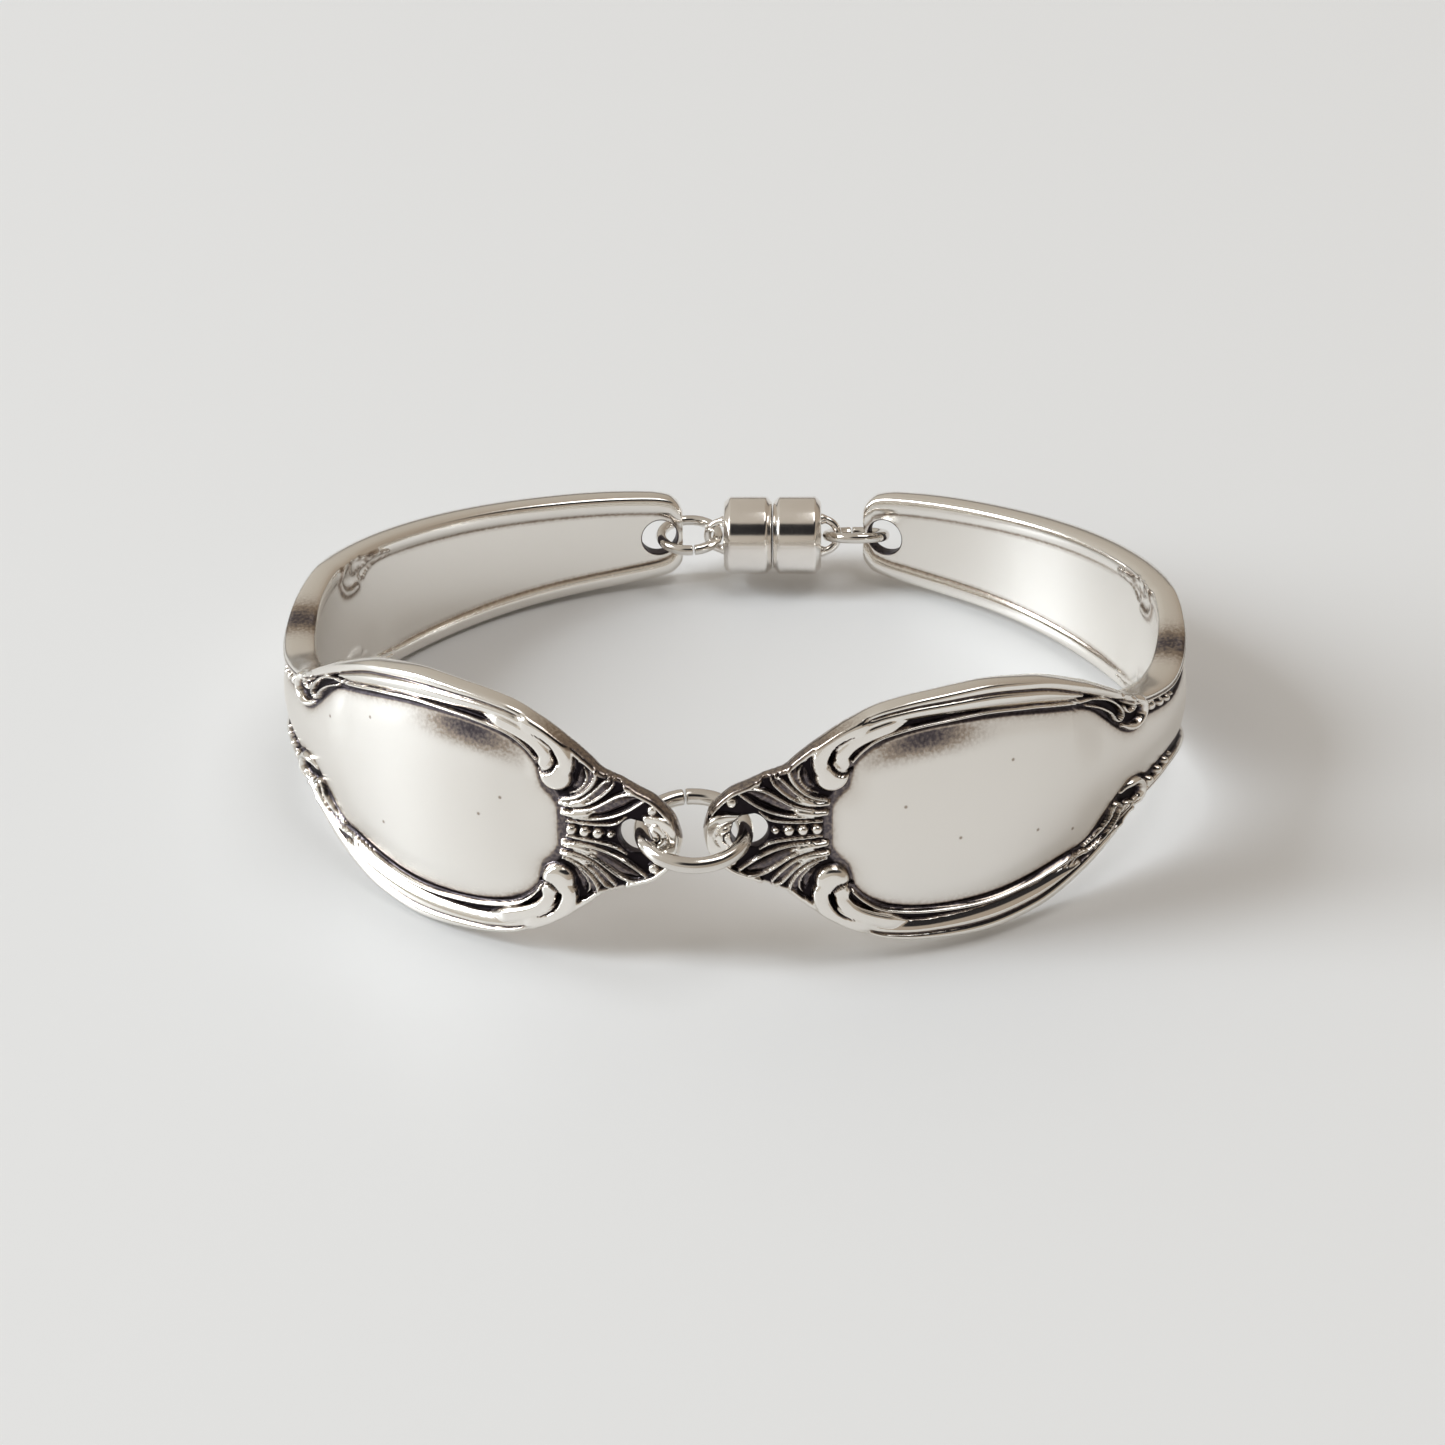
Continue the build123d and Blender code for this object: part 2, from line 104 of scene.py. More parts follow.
# outline: share of the length, full width there as a share of the width named
outlineParts = {
    "fan": [(0.000, 0.20), (0.006, 0.40), (0.012, 0.53), (0.024, 0.71), (0.037, 0.81), (0.049, 0.905),
            (0.060, 0.975), (0.068, 1.03)],
    "shield": [(0.080, 0.575), (0.097, 0.685), (0.122, 0.82), (0.155, 0.935), (0.190, 0.98), (0.235, 1.0),
               (0.290, 0.935), (0.345, 0.76), (0.380, 0.60), (0.410, 0.455)],
    "neck": [(0.440, 1.10), (0.475, 1.0), (0.510, 1.08)],
    "stem": [(0.560, 0.88), (0.610, 1.0), (0.660, 0.98), (0.860, 0.77)],
    "end": [(0.970, 1.03), (0.988, 0.93), (0.996, 0.78), (1.0, 0.60)],
}
outlineRows = [(share, handle[name] * part) for name, rows in outlineParts.items() for share, part in rows]
# share of the length, thickness there
thicknessRows = [(0, 1.15), (0.08, 1.15), (0.16, 1.25), (0.30, 1.25), (0.47, 2.3), (0.62, 1.5), (0.90, 1.5),
                 (1, 1.25)]
# share of the length, how sharply it bends there
bendRows = [(0, 0.05), (0.12, 0.36), (0.24, 0.62), (0.33, 0.60), (0.43, 0.74), (0.52, 1.0), (0.62, 0.80),
            (0.71, 0.54), (0.83, 0.53), (1, 0.33)]


# half the width at s, drawn in to a round tip
def halfWidth(s):
    return smoothTable(outlineRows, s / handle["length"]) / 2 * quarter(s / handle["tipRound"])


# cosine of the outline's slope, which turns distances along t into distances from the edge
def edgeCosine(s):
    slope = (halfWidth(s + 0.05) - halfWidth(s - 0.05)) / 0.1
    return 1 / np.sqrt(1 + np.minimum(np.abs(slope), 1.2) ** 2)


# the middle line: the bend summed up gives the heading, and the heading summed up gives the place
def bendPath(steps=4000):
    step = handle["length"] / steps
    bend = smoothTable(bendRows, (np.arange(steps) + 0.5) / steps)
    bend *= math.radians(handle["turn"]) / bend.sum()
    angle = np.concatenate(([0], np.cumsum(bend)))
    middle = angle[1:] - bend / 2
    x = np.concatenate(([0], np.cumsum(step * np.cos(middle))))
    y = np.concatenate(([0], np.cumsum(step * np.sin(middle))))
    return np.linspace(0, handle["length"], steps + 1), x, y, angle


path = bendPath()


# a point at s, t and h on the straightened handle, put on the bent one
def onHandle(s, t, h):
    x, y, angle = (np.interp(s, path[0], line) for line in path[1:])
    return np.stack([x + h * np.sin(angle), y - h * np.cos(angle), t], axis=-1)


# cosine and sine
def cosSin(degrees):
    return math.cos(math.radians(degrees)), math.sin(math.radians(degrees))


# a plan place turned about the origin
def turned(x, y, degrees):
    c, s = cosSin(degrees)
    return x * c - y * s, x * s + y * c


print("where the loop stands")
pivots = {joint["name"]: Vector(joint["pos_m"]) for joint in frame["record"]["behaviour"]["joints"]}
hingeAxis = Vector(frame["record"]["behaviour"]["joints"][0]["axis"]).normalized()
loopUp = -hingeAxis  # out of the loop's middle plane
loopAcross = Vector((1, 0, 0))
loopBack = loopUp.cross(loopAcross)
ringCentre = (pivots["left_link"] + pivots["right_link"]) / 2
crossing = (pivots["right_link"] - ringCentre) / mm
crossX, crossY = crossing.dot(loopAcross), crossing.dot(loopBack)
loopAxes = np.array([loopAcross, loopBack, loopUp])


# a plan place in the loop's plane, in millimetres from the front ring's middle, as metres in the frame
def onLoop(places):
    return np.array(ringCentre) + mm * (places @ loopAxes)


# the handle's tip in plan: its hole hangs on the front ring's wire
def tipPlace(side):
    holeX, holeY = (np.interp(handle["tipHole"][0], path[0], line) for line in path[1:3])
    x, y = turned(-holeX + handle["tipSlack"], -holeY, handle["heading"][side])
    return side * (abs(crossX) + x), side * crossY + y


# plan places of the handle's own points: the left one is turned half round about y first
def placeHandle(points, side):
    tip = tipPlace(side)
    x, y = turned(points[..., 0] * side, points[..., 1], side * handle["heading"][side])
    return onLoop(np.stack([x + tip[0], y + tip[1], points[..., 2] * side], axis=-1))


print("ornament of the handles")

# distance of each border line from the edge, along the handle
grooveRows = [(0, 0.30), (4.6, 0.30), (5.2, 0.34), (7, 0.50), (8, 0.55), (9, 0.42), (11, 0.40), (13, 0.53),
              (15, 0.62), (18, 0.78), (20, 0.85), (28.4, 0.85), (31, 0.65), (34, 0.45), (42, 0.42),
              (50, 0.45), (53, 0.52), (56, 0.60), (58, 0.64), (81.8, 0.64)]
mainReedRows = [(10, 2.3), (11, 1.75), (12, 1.56), (13, 1.53), (15, 1.63), (18, 1.90), (20, 2.05), (24, 1.95),
                (26.5, 1.55), (28.2, 0.95), (30, 0.80), (54, 0.70), (56, 0.95), (58, 1.28), (81.8, 1.28)]
thinReedRows = [(10.2, 2.75), (11, 2.36), (12, 2.2), (15, 2.2), (20, 2.27), (24, 2.15), (26.5, 1.75),
                (28.4, 1.2)]
# height of the border along the handle, as a share of the reeds' height
reedShares = [(0, 1), (26.2, 1), (30.3, 0.8), (36, 0.45), (42.5, 0.45), (50.7, 0.9), (81.8, 0.9)]
# across a reed: share of its width from the outside, share of the reeds' height
outerReedRows = [(0, 0.50), (0.2, 0.82), (0.42, 0.95), (0.68, 0.88), (1, 0.40)]
mainReedProfile = [(0, 0.40), (0.14, 0.84), (0.30, 1.0), (0.55, 0.84), (0.85, 0.40), (1, 0.10)]

# inner edge of the border, which frames the satin panel: s, t
panelEdge = [(8.9, 0), (8.92, 1.4), (9.4, 2.25), (10.05, 2.95), (10.3, 3.8), (10.5, 4.6), (11.2, 5.4),
             (12, 5.95), (13, 6.4), (15, 6.82), (17.5, 6.95), (20, 6.85), (22, 6.6), (24, 6.2), (26, 5.75),
             (28, 5.3), (29, 4.75), (30, 3.9), (31, 2.95), (32, 2.2), (33, 1.85), (34, 1.95), (34.7, 2.3),
             (36, 2.15), (37.5, 1.95), (39, 1.85), (40.5, 1.95), (42, 2.05)]
stemPanelEdge = 1.45  # from the edge of the stem
stemPanelStart = 56.5
mirrorPlace = 84.0  # the stem's ornament mirrors the neck's about half of this
mirrorEnd = 56  # where the mirrored line stops

# ridges on both sides of the fan: width, height, share of both left at the start and end, points s, t
fanRidges = [
    (0.44, 0.46, 0.6, 0.6, [(0.6, 1.35), (1.05, 2.08), (1.96, 2.90), (3.0, 3.38), (4.0, 3.82)]),
    (0.26, 0.34, 0.8, 0.5, [(8.2, 0.58), (7, 0.62), (6, 0.67), (5, 0.80), (4.4, 1.02), (3.9, 1.45)]),
    (0.66, 0.42, 0.8, 0.4, [(8.45, 1.20), (7.6, 1.24), (6.8, 1.38), (6.1, 1.60)]),
    (0.27, 0.42, 0.9, 0.8,
     [(7.6, 1.00), (6.8, 1.04), (6, 1.14), (5, 1.40), (4, 1.86), (3.2, 2.38), (2.3, 3.10)]),
    (0.29, 0.44, 0.9, 0.8,
     [(7.6, 1.50), (6.8, 1.70), (6, 2.02), (5.2, 2.55), (4.4, 3.08), (3.6, 3.36), (2.9, 3.34),
      (2.3, 3.12)]),
    (0.56, 0.42, 0.8, 0.4, [(8.6, 1.95), (7.8, 2.0), (7.1, 2.18), (6.5, 2.48)]),
    (0.25, 0.42, 0.9, 0.7, [(7.7, 1.84), (6.9, 2.06), (6.2, 2.42), (5.5, 2.98), (4.9, 3.62), (4.66, 4.08)]),
    (0.25, 0.42, 0.9, 0.7, [(7.7, 2.20), (7.0, 2.46), (6.4, 2.92), (5.8, 3.55), (5.35, 4.02), (4.85, 4.2)]),
    (0.32, 0.46, 0.8, 0.7,
     [(8.5, 2.26), (7.7, 2.48), (6.95, 2.92), (6.3, 3.6), (5.95, 4.3), (6.0, 4.85), (6.45, 5.25),
      (7.1, 5.42)]),
    (0.16, 0.22, 0.5, 0.5, [(7.9, 2.75), (7.15, 3.2), (6.7, 3.85), (6.62, 4.5), (6.85, 4.95)]),
]
# the knob with its band, and the second lobe, which runs on as the main reed
fanScrolls = [
    (2.55, 0.62, 1.0, 1.0, [(8.85, 4.10), (8.86, 4.11)]),
    (1.30, 0.60, 1.0, 0.25,
     [(8.55, 4.2), (8.1, 4.85), (8.12, 5.6), (8.6, 6.35), (9.4, 6.95), (10.4, 7.42), (11.6, 7.85),
      (12.8, 8.15)]),
    (1.22, 0.58, 0.9, 0.15,
     [(9.62, 5.0), (9.55, 5.6), (9.9, 6.2), (10.5, 6.7), (11.4, 7.15), (12.4, 7.5), (13.6, 7.85),
      (15.2, 8.2)]),
]
# broad shallow blades that fill the leaves
fanBlades = [
    (0.80, 0.16, 0.5, 0.4, [(6.6, 1.52), (5.8, 1.80), (5, 2.18), (4.2, 2.64), (3.2, 3.02)]),
    (0.60, 0.16, 0.5, 0.4, [(6.7, 2.38), (6.1, 2.80), (5.5, 3.38), (5.05, 3.9)]),
    (0.70, 0.14, 0.5, 0.4, [(7.4, 2.85), (6.75, 3.4), (6.3, 4.1), (6.35, 4.8)]),
    (0.50, 0.12, 0.5, 0.4, [(7.6, 3.25), (7.15, 3.8), (7.0, 4.6)]),
]
# fine blackened lines cut into the raised work: width, depth, shares left at both ends, points
fanCuts = [
    (0.32, 0.50, 0.7, 0.2,
     [(10.3, 4.42), (9.7, 4.30), (9.15, 4.52), (8.84, 5.0), (8.80, 5.6), (9.05, 6.25), (9.6, 6.78),
      (10.3, 7.12)]),
]
# round bosses: s, t, diameter, height
fanBosses = [(4.98, 0, 0.66, 0.34), (5.88, 0, 0.88, 0.46), (6.85, 0, 0.88, 0.46), (7.82, 0, 0.88, 0.46),
             (7.05, 5.85, 0.52, 0.40), (4.78, 4.42, 0.46, 0.38), (3.75, 3.72, 0.62, 0.36),
             (3.4, 3.62, 0.4, 0.3), (1.95, 2.25, 0.85, 0.34)]
# the scroll on the tip isn't mirrored across the middle
tipScroll = [
    (1.08, 0.42, 0.5, 0.6,
     [(2.4, 1.05), (1.4, 1.0), (0.7, 0.62), (0.42, -0.15), (0.62, -0.92), (1.25, -1.38), (2.4, -1.5)]),
    (1.70, 0.44, 0.8, 0.6, [(1.95, 0.05), (1.6, -0.25), (1.75, -0.7), (2.2, -0.95)]),
]
tipCuts = [(0.16, 0.4, 0.4, 0.4, [(2.1, -0.1), (1.75, 0.1), (1.4, -0.15), (1.45, -0.6), (1.75, -0.85)])]
# ridges beside the neck, on both sides of the middle
neckRidges = [
    (0.26, 0.40, 0.7, 0.9,
     [(28.2, 5.55), (29.5, 4.95), (30.5, 4.2), (31.1, 3.4), (31.55, 3.35), (31.72, 3.8), (31.2, 4.55),
      (30.2, 5.35), (29, 5.85), (28.2, 6.05)]),
    (0.26, 0.40, 0.7, 0.8,
     [(29.3, 6.0), (31, 5.25), (32.4, 4.75), (33.05, 4.2), (32.95, 3.72), (32.3, 3.62), (31.9, 4.2)]),
    (0.68, 0.52, 0.5, 0.6,
     [(31.9, 2.65), (32.6, 2.3), (33.4, 2.25), (34.0, 2.62), (34.2, 3.15), (34.0, 3.8), (33.3, 4.35)]),
]
neckBosses = [(35.1, 3.0, 0.84, 0.44), (36.35, 2.72, 0.78, 0.40), (37.5, 2.5, 0.68, 0.36),
              (38.4, 2.4, 0.4, 0.22)]

# blackening from 0 to 1, patina and painted shade, lengths in millimetres
patina = {
    "ground": 0.60, "groundMore": 0.22, "groundDeep": 0.96,  # beside the panel, added behind the fan, at most
    "halo": 0.24, "haloMore": 0.10, "haloWidth": 0.25,  # on the panel's edge, added behind the fan
    "stain": 0.66, "shadePlace": 15.4, "shadeLength": 3.3, "shadeWidth": 2.7,  # painted shade: a dark reflection painted on the panel's upper corner
    "outerReed": 0.72, "mainReed": 0.76,  # at the foot of each reed
    "blades": 0.60,
    "innerLines": 0.36,  # beside the reeds of the inner face
    # painted shade on the walls of the holes
    "holeShade": 0.75,
    "trace": 0.25, "traceShade": 2.6, "traceHeight": 0.3,  # the neck's ornament on the inner face, brown at its sides, darker on the upper side by painted shade
}


# a Catmull-Rom spline through a short list of points, with the given steps between neighbours
def splinePoints(points, steps=8):
    p = np.array(points, float)
    p = np.concatenate(([2 * p[0] - p[1]], p, [2 * p[-1] - p[-2]]))
    u = (np.arange(steps) / steps)[None, :, None]
    a, b, c, d = (p[k:len(p) - 3 + k, None, :] for k in range(4))
    bent = (2 * a - 5 * b + 4 * c - d) * u * u + (3 * b - a - 3 * c + d) * u ** 3
    curve = 0.5 * (2 * b + (c - a) * u + bent)
    return np.concatenate((curve.reshape(-1, p.shape[1]), [np.array(points[-1], float)]))


# each place's distance from a line of points, and the share of the line where it is nearest
def lineDistance(line, s, t):
    start, run = line[:-1], np.diff(line, axis=0)
    size = np.maximum((run ** 2).sum(1), 1e-12)
    ds, dt = s[:, None] - start[:, 0], t[:, None] - start[:, 1]
    u = np.clip((ds * run[:, 0] + dt * run[:, 1]) / size, 0, 1)
    gap = np.hypot(ds - u * run[:, 0], dt - u * run[:, 1])
    best = gap.argmin(1)
    rows = np.arange(len(s))
    return gap[rows, best], (best + u[rows, best]) / len(run)


# which places lie near the curve through some points, with their distance from it and their share of it
def nearCurve(points, s, t, margin):
    line = splinePoints(points)
    low, high = line.min(0) - margin, line.max(0) + margin
    near = (s > low[0]) & (s < high[0]) & (t > low[1]) & (t < high[1])
    return near, *lineDistance(line, s[near], t[near])


# share of the full width: thins toward the start of a line and toward its end
def thinned(share, first, last, reach):
    start = first + (1 - first) * ease(share, 0, 0.25)
    end = last + (1 - last) * ease(1 - share, 0, reach)
    return np.minimum(start, end)


# raises the relief where a round-topped band passes: dome = (1 - (distance / half width)^power)^0.8,
# with a power of 2 for a thin band and up to 5 for a broad one, which is flatter
def addRidge(relief, s, t, ridge, shine=1.0):
    width, height, first, last, points = ridge
    near, gap, share = nearCurve(points, s, t, width)
    taper = thinned(share, first, last, 0.25)
    power = 2 + 3 * ease(width, 0.5, 1.2)
    dome = np.clip(1 - (gap / (width / 2 * taper)) ** power, 0, 1) ** 0.8
    lift = -handle["sink"] + (height + handle["sink"]) * dome * taper
    relief["height"][near] = np.maximum(relief["height"][near], lift)
    bare = 1 - shine * ease(dome, 0.05, 0.7)
    relief["tarnish"][near] = np.minimum(relief["tarnish"][near], bare)


# a low ridge on a plain face, brown along its sides, with painted shade along them that shows on the upper
# side only
def addTrace(relief, s, t, ridge):
    width, height, *_, points = ridge
    near, gap, _ = nearCurve(points, s, t, width)
    dome = bell(gap, 0, 0.45 * width)
    relief["height"][near] += patina["traceHeight"] * height * dome
    for name, amount in (("tarnish", "trace"), ("stain", "traceShade")):
        relief[name][near] = np.maximum(relief[name][near], patina[amount] * dome * (1 - dome))


# lowers the relief along a fine line and blackens it
def addCut(relief, s, t, cut):
    width, depth, first, last, points = cut
    near, gap, share = nearCurve(points, s, t, width)
    taper = thinned(share, first, last, 0.4)
    dip = 1 - ease(gap / (width / 2 * taper), 0.35, 1)
    relief["height"][near] -= depth * dip * taper
    relief["tarnish"][near] = np.maximum(relief["tarnish"][near], ease(dip, 0.1, 0.7))


# a round boss: the same dome about one point
def addBoss(relief, s, t, boss):
    addRidge(relief, s, t, (boss[2], boss[3], 1, 1, [boss[:2], (boss[0] + 0.01, boss[1])]))


# where the neck's ornament is read for each place: the stem's is mirrored from it and widened
def neckPlaces(s, t, half):
    mirrored = s > mirrorPlace / 2
    sNeck = np.where(mirrored, mirrorPlace - s, s)
    return sNeck, np.where(mirrored, t * halfWidth(sNeck) / np.maximum(half, 1e-6), t), mirrored


# distance inside the border's inner edge, below 0 on the border: the edge of the panel, the same line
# mirrored past the neck, and the edge of the stem
def insidePanel(s, t):
    stem = np.linspace(stemPanelStart, 83, 40)
    line = splinePoints(panelEdge, 5)
    back = line[(line[:, 0] > mirrorPlace - mirrorEnd) & (line[:, 0] < mirrorPlace / 2 - 0.01)][::-1]
    backPlace = mirrorPlace - back[:, 0]
    backWide = back[:, 1] * halfWidth(backPlace) / halfWidth(back[:, 0])
    line = np.concatenate((line, np.stack([backPlace, backWide], 1),
                           np.stack([stem, halfWidth(np.minimum(stem, 80)) - stemPanelEdge], 1)))
    batches = [slice(k, k + 4000) for k in range(0, len(s), 4000)]  # keeps the distance tables small
    gap = np.concatenate([lineDistance(line, s[part], t[part])[0] for part in batches])
    return np.where((s > line[0, 0]) & (t < np.interp(s, line[:, 0], line[:, 1])), gap, -gap)


# the outer face: a panel with a drooping edge, sunk ground round it, three reeds, fan, tip and neck
def outerRelief(s, signed, half, edge):
    t, sink = np.abs(signed), handle["sink"]
    inside = insidePanel(s, t)
    ground = 1 - ease(inside, -0.16, 0.02)
    droop = handle["panelDroop"] * (1 - ease(inside, 0, 1.8)) * (1 - ease(s, 26, 29))
    height = -sink * ground - droop * (1 - ground)
    along, onPanel = ease(s, 10.5, 13), ease(inside, -0.08, 0.14)
    deep = patina["groundDeep"] * ease(inside, -0.15, -0.75)
    tarnish = np.maximum(patina["ground"] + patina["groundMore"] * along, deep) * (1 - onPanel)
    halo = np.exp(-np.maximum(inside, 0) / patina["haloWidth"]) * onPanel
    tarnish += (patina["halo"] + patina["haloMore"] * along) * halo
    # painted shade: a soft dark reflection painted on the panel's corner below the upper border
    stain = bell(s, patina["shadePlace"], patina["shadeLength"])
    stain *= 1 - ease(inside, 0.5, patina["shadeWidth"])
    stain *= ease(t, 3.4, 5.4)
    stain *= ease(inside, 0.0, 0.25)
    # outer reed on the edge, broad main reed that slopes inward, thin sharp reed
    tall = handle["reedHeight"] * (0.62 + 0.38 * ease(s, 6, 13)) * smoothTable(reedShares, s)
    groove = smoothTable(grooveRows, s)
    u = edge / groove
    height = np.maximum(height, np.where(u < 1, tall * smoothTable(outerReedRows, u), -9))
    tarnish = np.where(u < 1, patina["outerReed"] * ease(u, 0.76, 1.0), tarnish)
    inward = smoothTable(mainReedRows, s)
    u = (edge - groove) / np.maximum(inward - groove, 0.02)
    shown = ease(s, 10.4, 11.4) * ease(inward - groove, 0.05, 0.3)
    reed = (u > 0) & (u < 1) & (shown > 0)
    lift = tall * smoothTable(mainReedProfile, u) * shown - sink * (1 - shown)
    bare = 1 - (1 - patina["mainReed"] * ease(np.abs(u - 0.5), 0.38, 0.5)) * shown
    height = np.where(reed, np.maximum(height, lift), height)
    tarnish = np.where(reed, np.minimum(tarnish, bare), tarnish)
    u = (edge - smoothTable(thinReedRows, s)) / handle["thinReedHalf"]
    dome = np.clip(1 - u ** 2, 0, 1) ** 0.8 * ((s > 10.2) & (s < 28.4))
    relief = {"height": np.maximum(height, -sink + (handle["thinReedHeight"] + sink) * dome),
              "tarnish": np.minimum(tarnish, 1 - ease(dome, 0.1, 0.6)),
              "satin": ease(inside, -0.05, 0.2), "stain": stain}
    for blade in fanBlades:
        addRidge(relief, s, t, blade, 1 - patina["blades"])
    for addWork, across, works in ((addRidge, t, fanRidges + fanScrolls), (addCut, t, fanCuts),
                                   (addBoss, t, fanBosses), (addRidge, signed, tipScroll),
                                   (addCut, signed, tipCuts)):
        for work in works:
            addWork(relief, s, across, work)
    # the plate is crowned from side to side
    crowned = ease(s, 9, 14.4) * (1 - ease(s / handle["length"], 0.9, 1))
    span = np.maximum(half - 2.5, 0.55 * half)
    relief["height"] += handle["crown"] * crowned * (1 - np.minimum(1, t / span) ** 2)
    sNeck, tNeck, _ = neckPlaces(s, t, half)
    for ridge in neckRidges:
        addRidge(relief, sNeck, tNeck, ridge)
    for boss in neckBosses:
        addBoss(relief, sNeck, tNeck, boss)
    return relief


# the inner face: a low reed along each edge, and a trace of the neck's ornament where the stem starts
def innerRelief(s, signed, half, edge):
    u = edge / np.maximum(np.minimum(handle["innerReedWidth"], 0.5 * half), 1e-6)
    reed = np.clip(1 - (2 * u - 1) ** 2, 0, 1) * ease(s, 0, 9)
    line = bell(u, 0.97, 0.10) + 0.6 * bell(u, 0.16, 0.06)
    relief = {"height": handle["innerReedHeight"] * reed - handle["innerReedHeight"],
              "tarnish": patina["innerLines"] * line * (0.35 + 0.65 * ease(s, 50, 62)),
              "satin": 0.6 * ease(u, 0.9, 1.05), "stain": np.zeros_like(s)}
    sNeck, tNeck, mirrored = neckPlaces(s, np.abs(signed), half)
    for ridge in neckRidges:
        addTrace(relief, np.where(mirrored, sNeck, -99), tNeck, ridge)
    return relief


# the work on one face: its height over the plate, how black and satin each place is, and the painted shade on
# it
def faceRelief(s, t, outer):
    half = halfWidth(s.ravel())
    edge = (half - np.abs(t.ravel())) * edgeCosine(s.ravel())
    relief = (outerRelief if outer else innerRelief)(s.ravel(), t.ravel(), half, edge)
    return {name: values.reshape(s.shape) for name, values in relief.items()}


# stations along the handle: where a zone ends, spacing in it
stationZones = [(0.1, 0.02), (0.4, 0.06), (10.6, 0.1), (15, 0.18), (27.5, 0.45), (40, 0.12), (44, 0.4),
                (56.5, 0.13), (78.27, 0.75), (81.63, 0.14), (81.8, 0.04)]
firstStation = 0.005
outerColumns = (42, 48)  # cells across one border, across the panel
innerColumns = (16, 24)
rimColumns = 7
holeRows = (18, 12)  # cells from the middle of each hole to the end of the block round it
holeSteps = 3  # rings of cells down the rounded edge of a hole
# width of the border that the columns gather on: shield, stem, inner face
borderRows = [(8, 2.5), (15, 3.0), (28, 2.9)]
stemBorder = 1.62
innerBorder = 1.6


# the places of all stations, from the tip to the end
def stationPlaces():
    places, start = [firstStation], 0.0
    for end, spacing in stationZones:
        count = max(1, round((end - start) / spacing))
        places += list(start + (end - start) * (np.arange(count) + 1) / count)
        start = end
    return np.array(places)


# columns across one face: evenly spread on the fan and the neck, gathered on the border elsewhere
def columnPlaces(s, counts, border):
    half = halfWidth(s)[:, None]
    corner = np.minimum(handle["rimRound"] / edgeCosine(s)[:, None], 0.45 * half)
    side, middle = counts
    total = 2 * side + middle
    even = (half - corner) * (1 - 2 * np.arange(total + 1) / total)
    inner = np.maximum(half - border[:, None], 0.2 * half)
    down = np.arange(side) / side
    top = (half - corner) + (inner - half + corner) * down
    across = inner * (1 - 2 * np.arange(middle + 1) / middle)
    gathered = np.concatenate((top, across, -top[:, ::-1]), axis=1)
    weight = (ease(s, 8, 12) * (1 - ease(s, 27, 30)) + ease(s, 54, 57))[:, None]
    return even + (gathered - even) * weight


# draws the grid in round a hole: in a block of cells, the loop two thirds of the way out lies on the
# circle, and the points beyond it slide evenly to the block's edge
def openHole(s, t, row, column, rows, columns, place, radius):
    i, j = np.meshgrid(np.arange(row - rows, row + rows + 1),
                       np.arange(column - columns, column + columns + 1), indexing="ij")
    a, b = (i - row) / rows, (j - column) / columns
    far = np.maximum(np.maximum(np.abs(a), np.abs(b)), 2 / 3)
    rowAt, columnAt = row + a / far * rows, column + b / far * columns

    # a grid's value between its cells: the four corners weighed by how near they are
    def sample(grid):
        i0 = np.clip(np.floor(rowAt).astype(int), 0, grid.shape[0] - 2)
        j0 = np.clip(np.floor(columnAt).astype(int), 0, grid.shape[1] - 2)
        u, v = rowAt - i0, columnAt - j0
        return ((1 - u) * (1 - v) * grid[i0, j0] + u * (1 - v) * grid[i0 + 1, j0]
                + (1 - u) * v * grid[i0, j0 + 1] + u * v * grid[i0 + 1, j0 + 1])

    edgeS, edgeT = sample(s), sample(t)
    angle = np.arctan2(edgeT, edgeS - place)
    circleS, circleT = place + radius * np.cos(angle), radius * np.sin(angle)
    share = (far - 2 / 3) * 3
    s[i, j] = circleS + (edgeS - circleS) * share
    t[i, j] = circleT + (edgeT - circleT) * share


# grid places of the loop round a hole, in order
def loopIndices(row, column, rows, columns):
    r, c = np.arange(-rows, rows), np.arange(-columns, columns)
    i = np.concatenate((r, np.full(len(c), rows), -r, np.full(len(c), -rows)))
    j = np.concatenate((np.full(len(r), -columns), c, np.full(len(r), columns), -c))
    return i + row, j + column


# joins two rings of points by triangles: each edge reaches the other ring's point at its own mid angle
def zipRings(one, two, angleOne, angleTwo):
    one, two = one[np.argsort(angleOne)], two[np.argsort(angleTwo)]
    a, b = np.sort(angleOne), np.sort(angleTwo)
    midA = (a + np.append(a[1:], a[0] + 2 * np.pi)) / 2
    midB = (b + np.append(b[1:], b[0] + 2 * np.pi)) / 2
    meetB = np.searchsorted(midB, midA) % len(two)
    meetA = np.searchsorted(midA, midB) % len(one)
    facesA = np.stack([one, np.roll(one, -1), two[meetB]], 1)
    facesB = np.stack([two, one[meetA], np.roll(two, -1)], 1)
    return np.concatenate((facesA, facesB))


# triangles from a closed ring of points to one tip
def fanFaces(ring, tip):
    return np.stack([ring, np.roll(ring, -1), np.full(len(ring), tip)], 1)


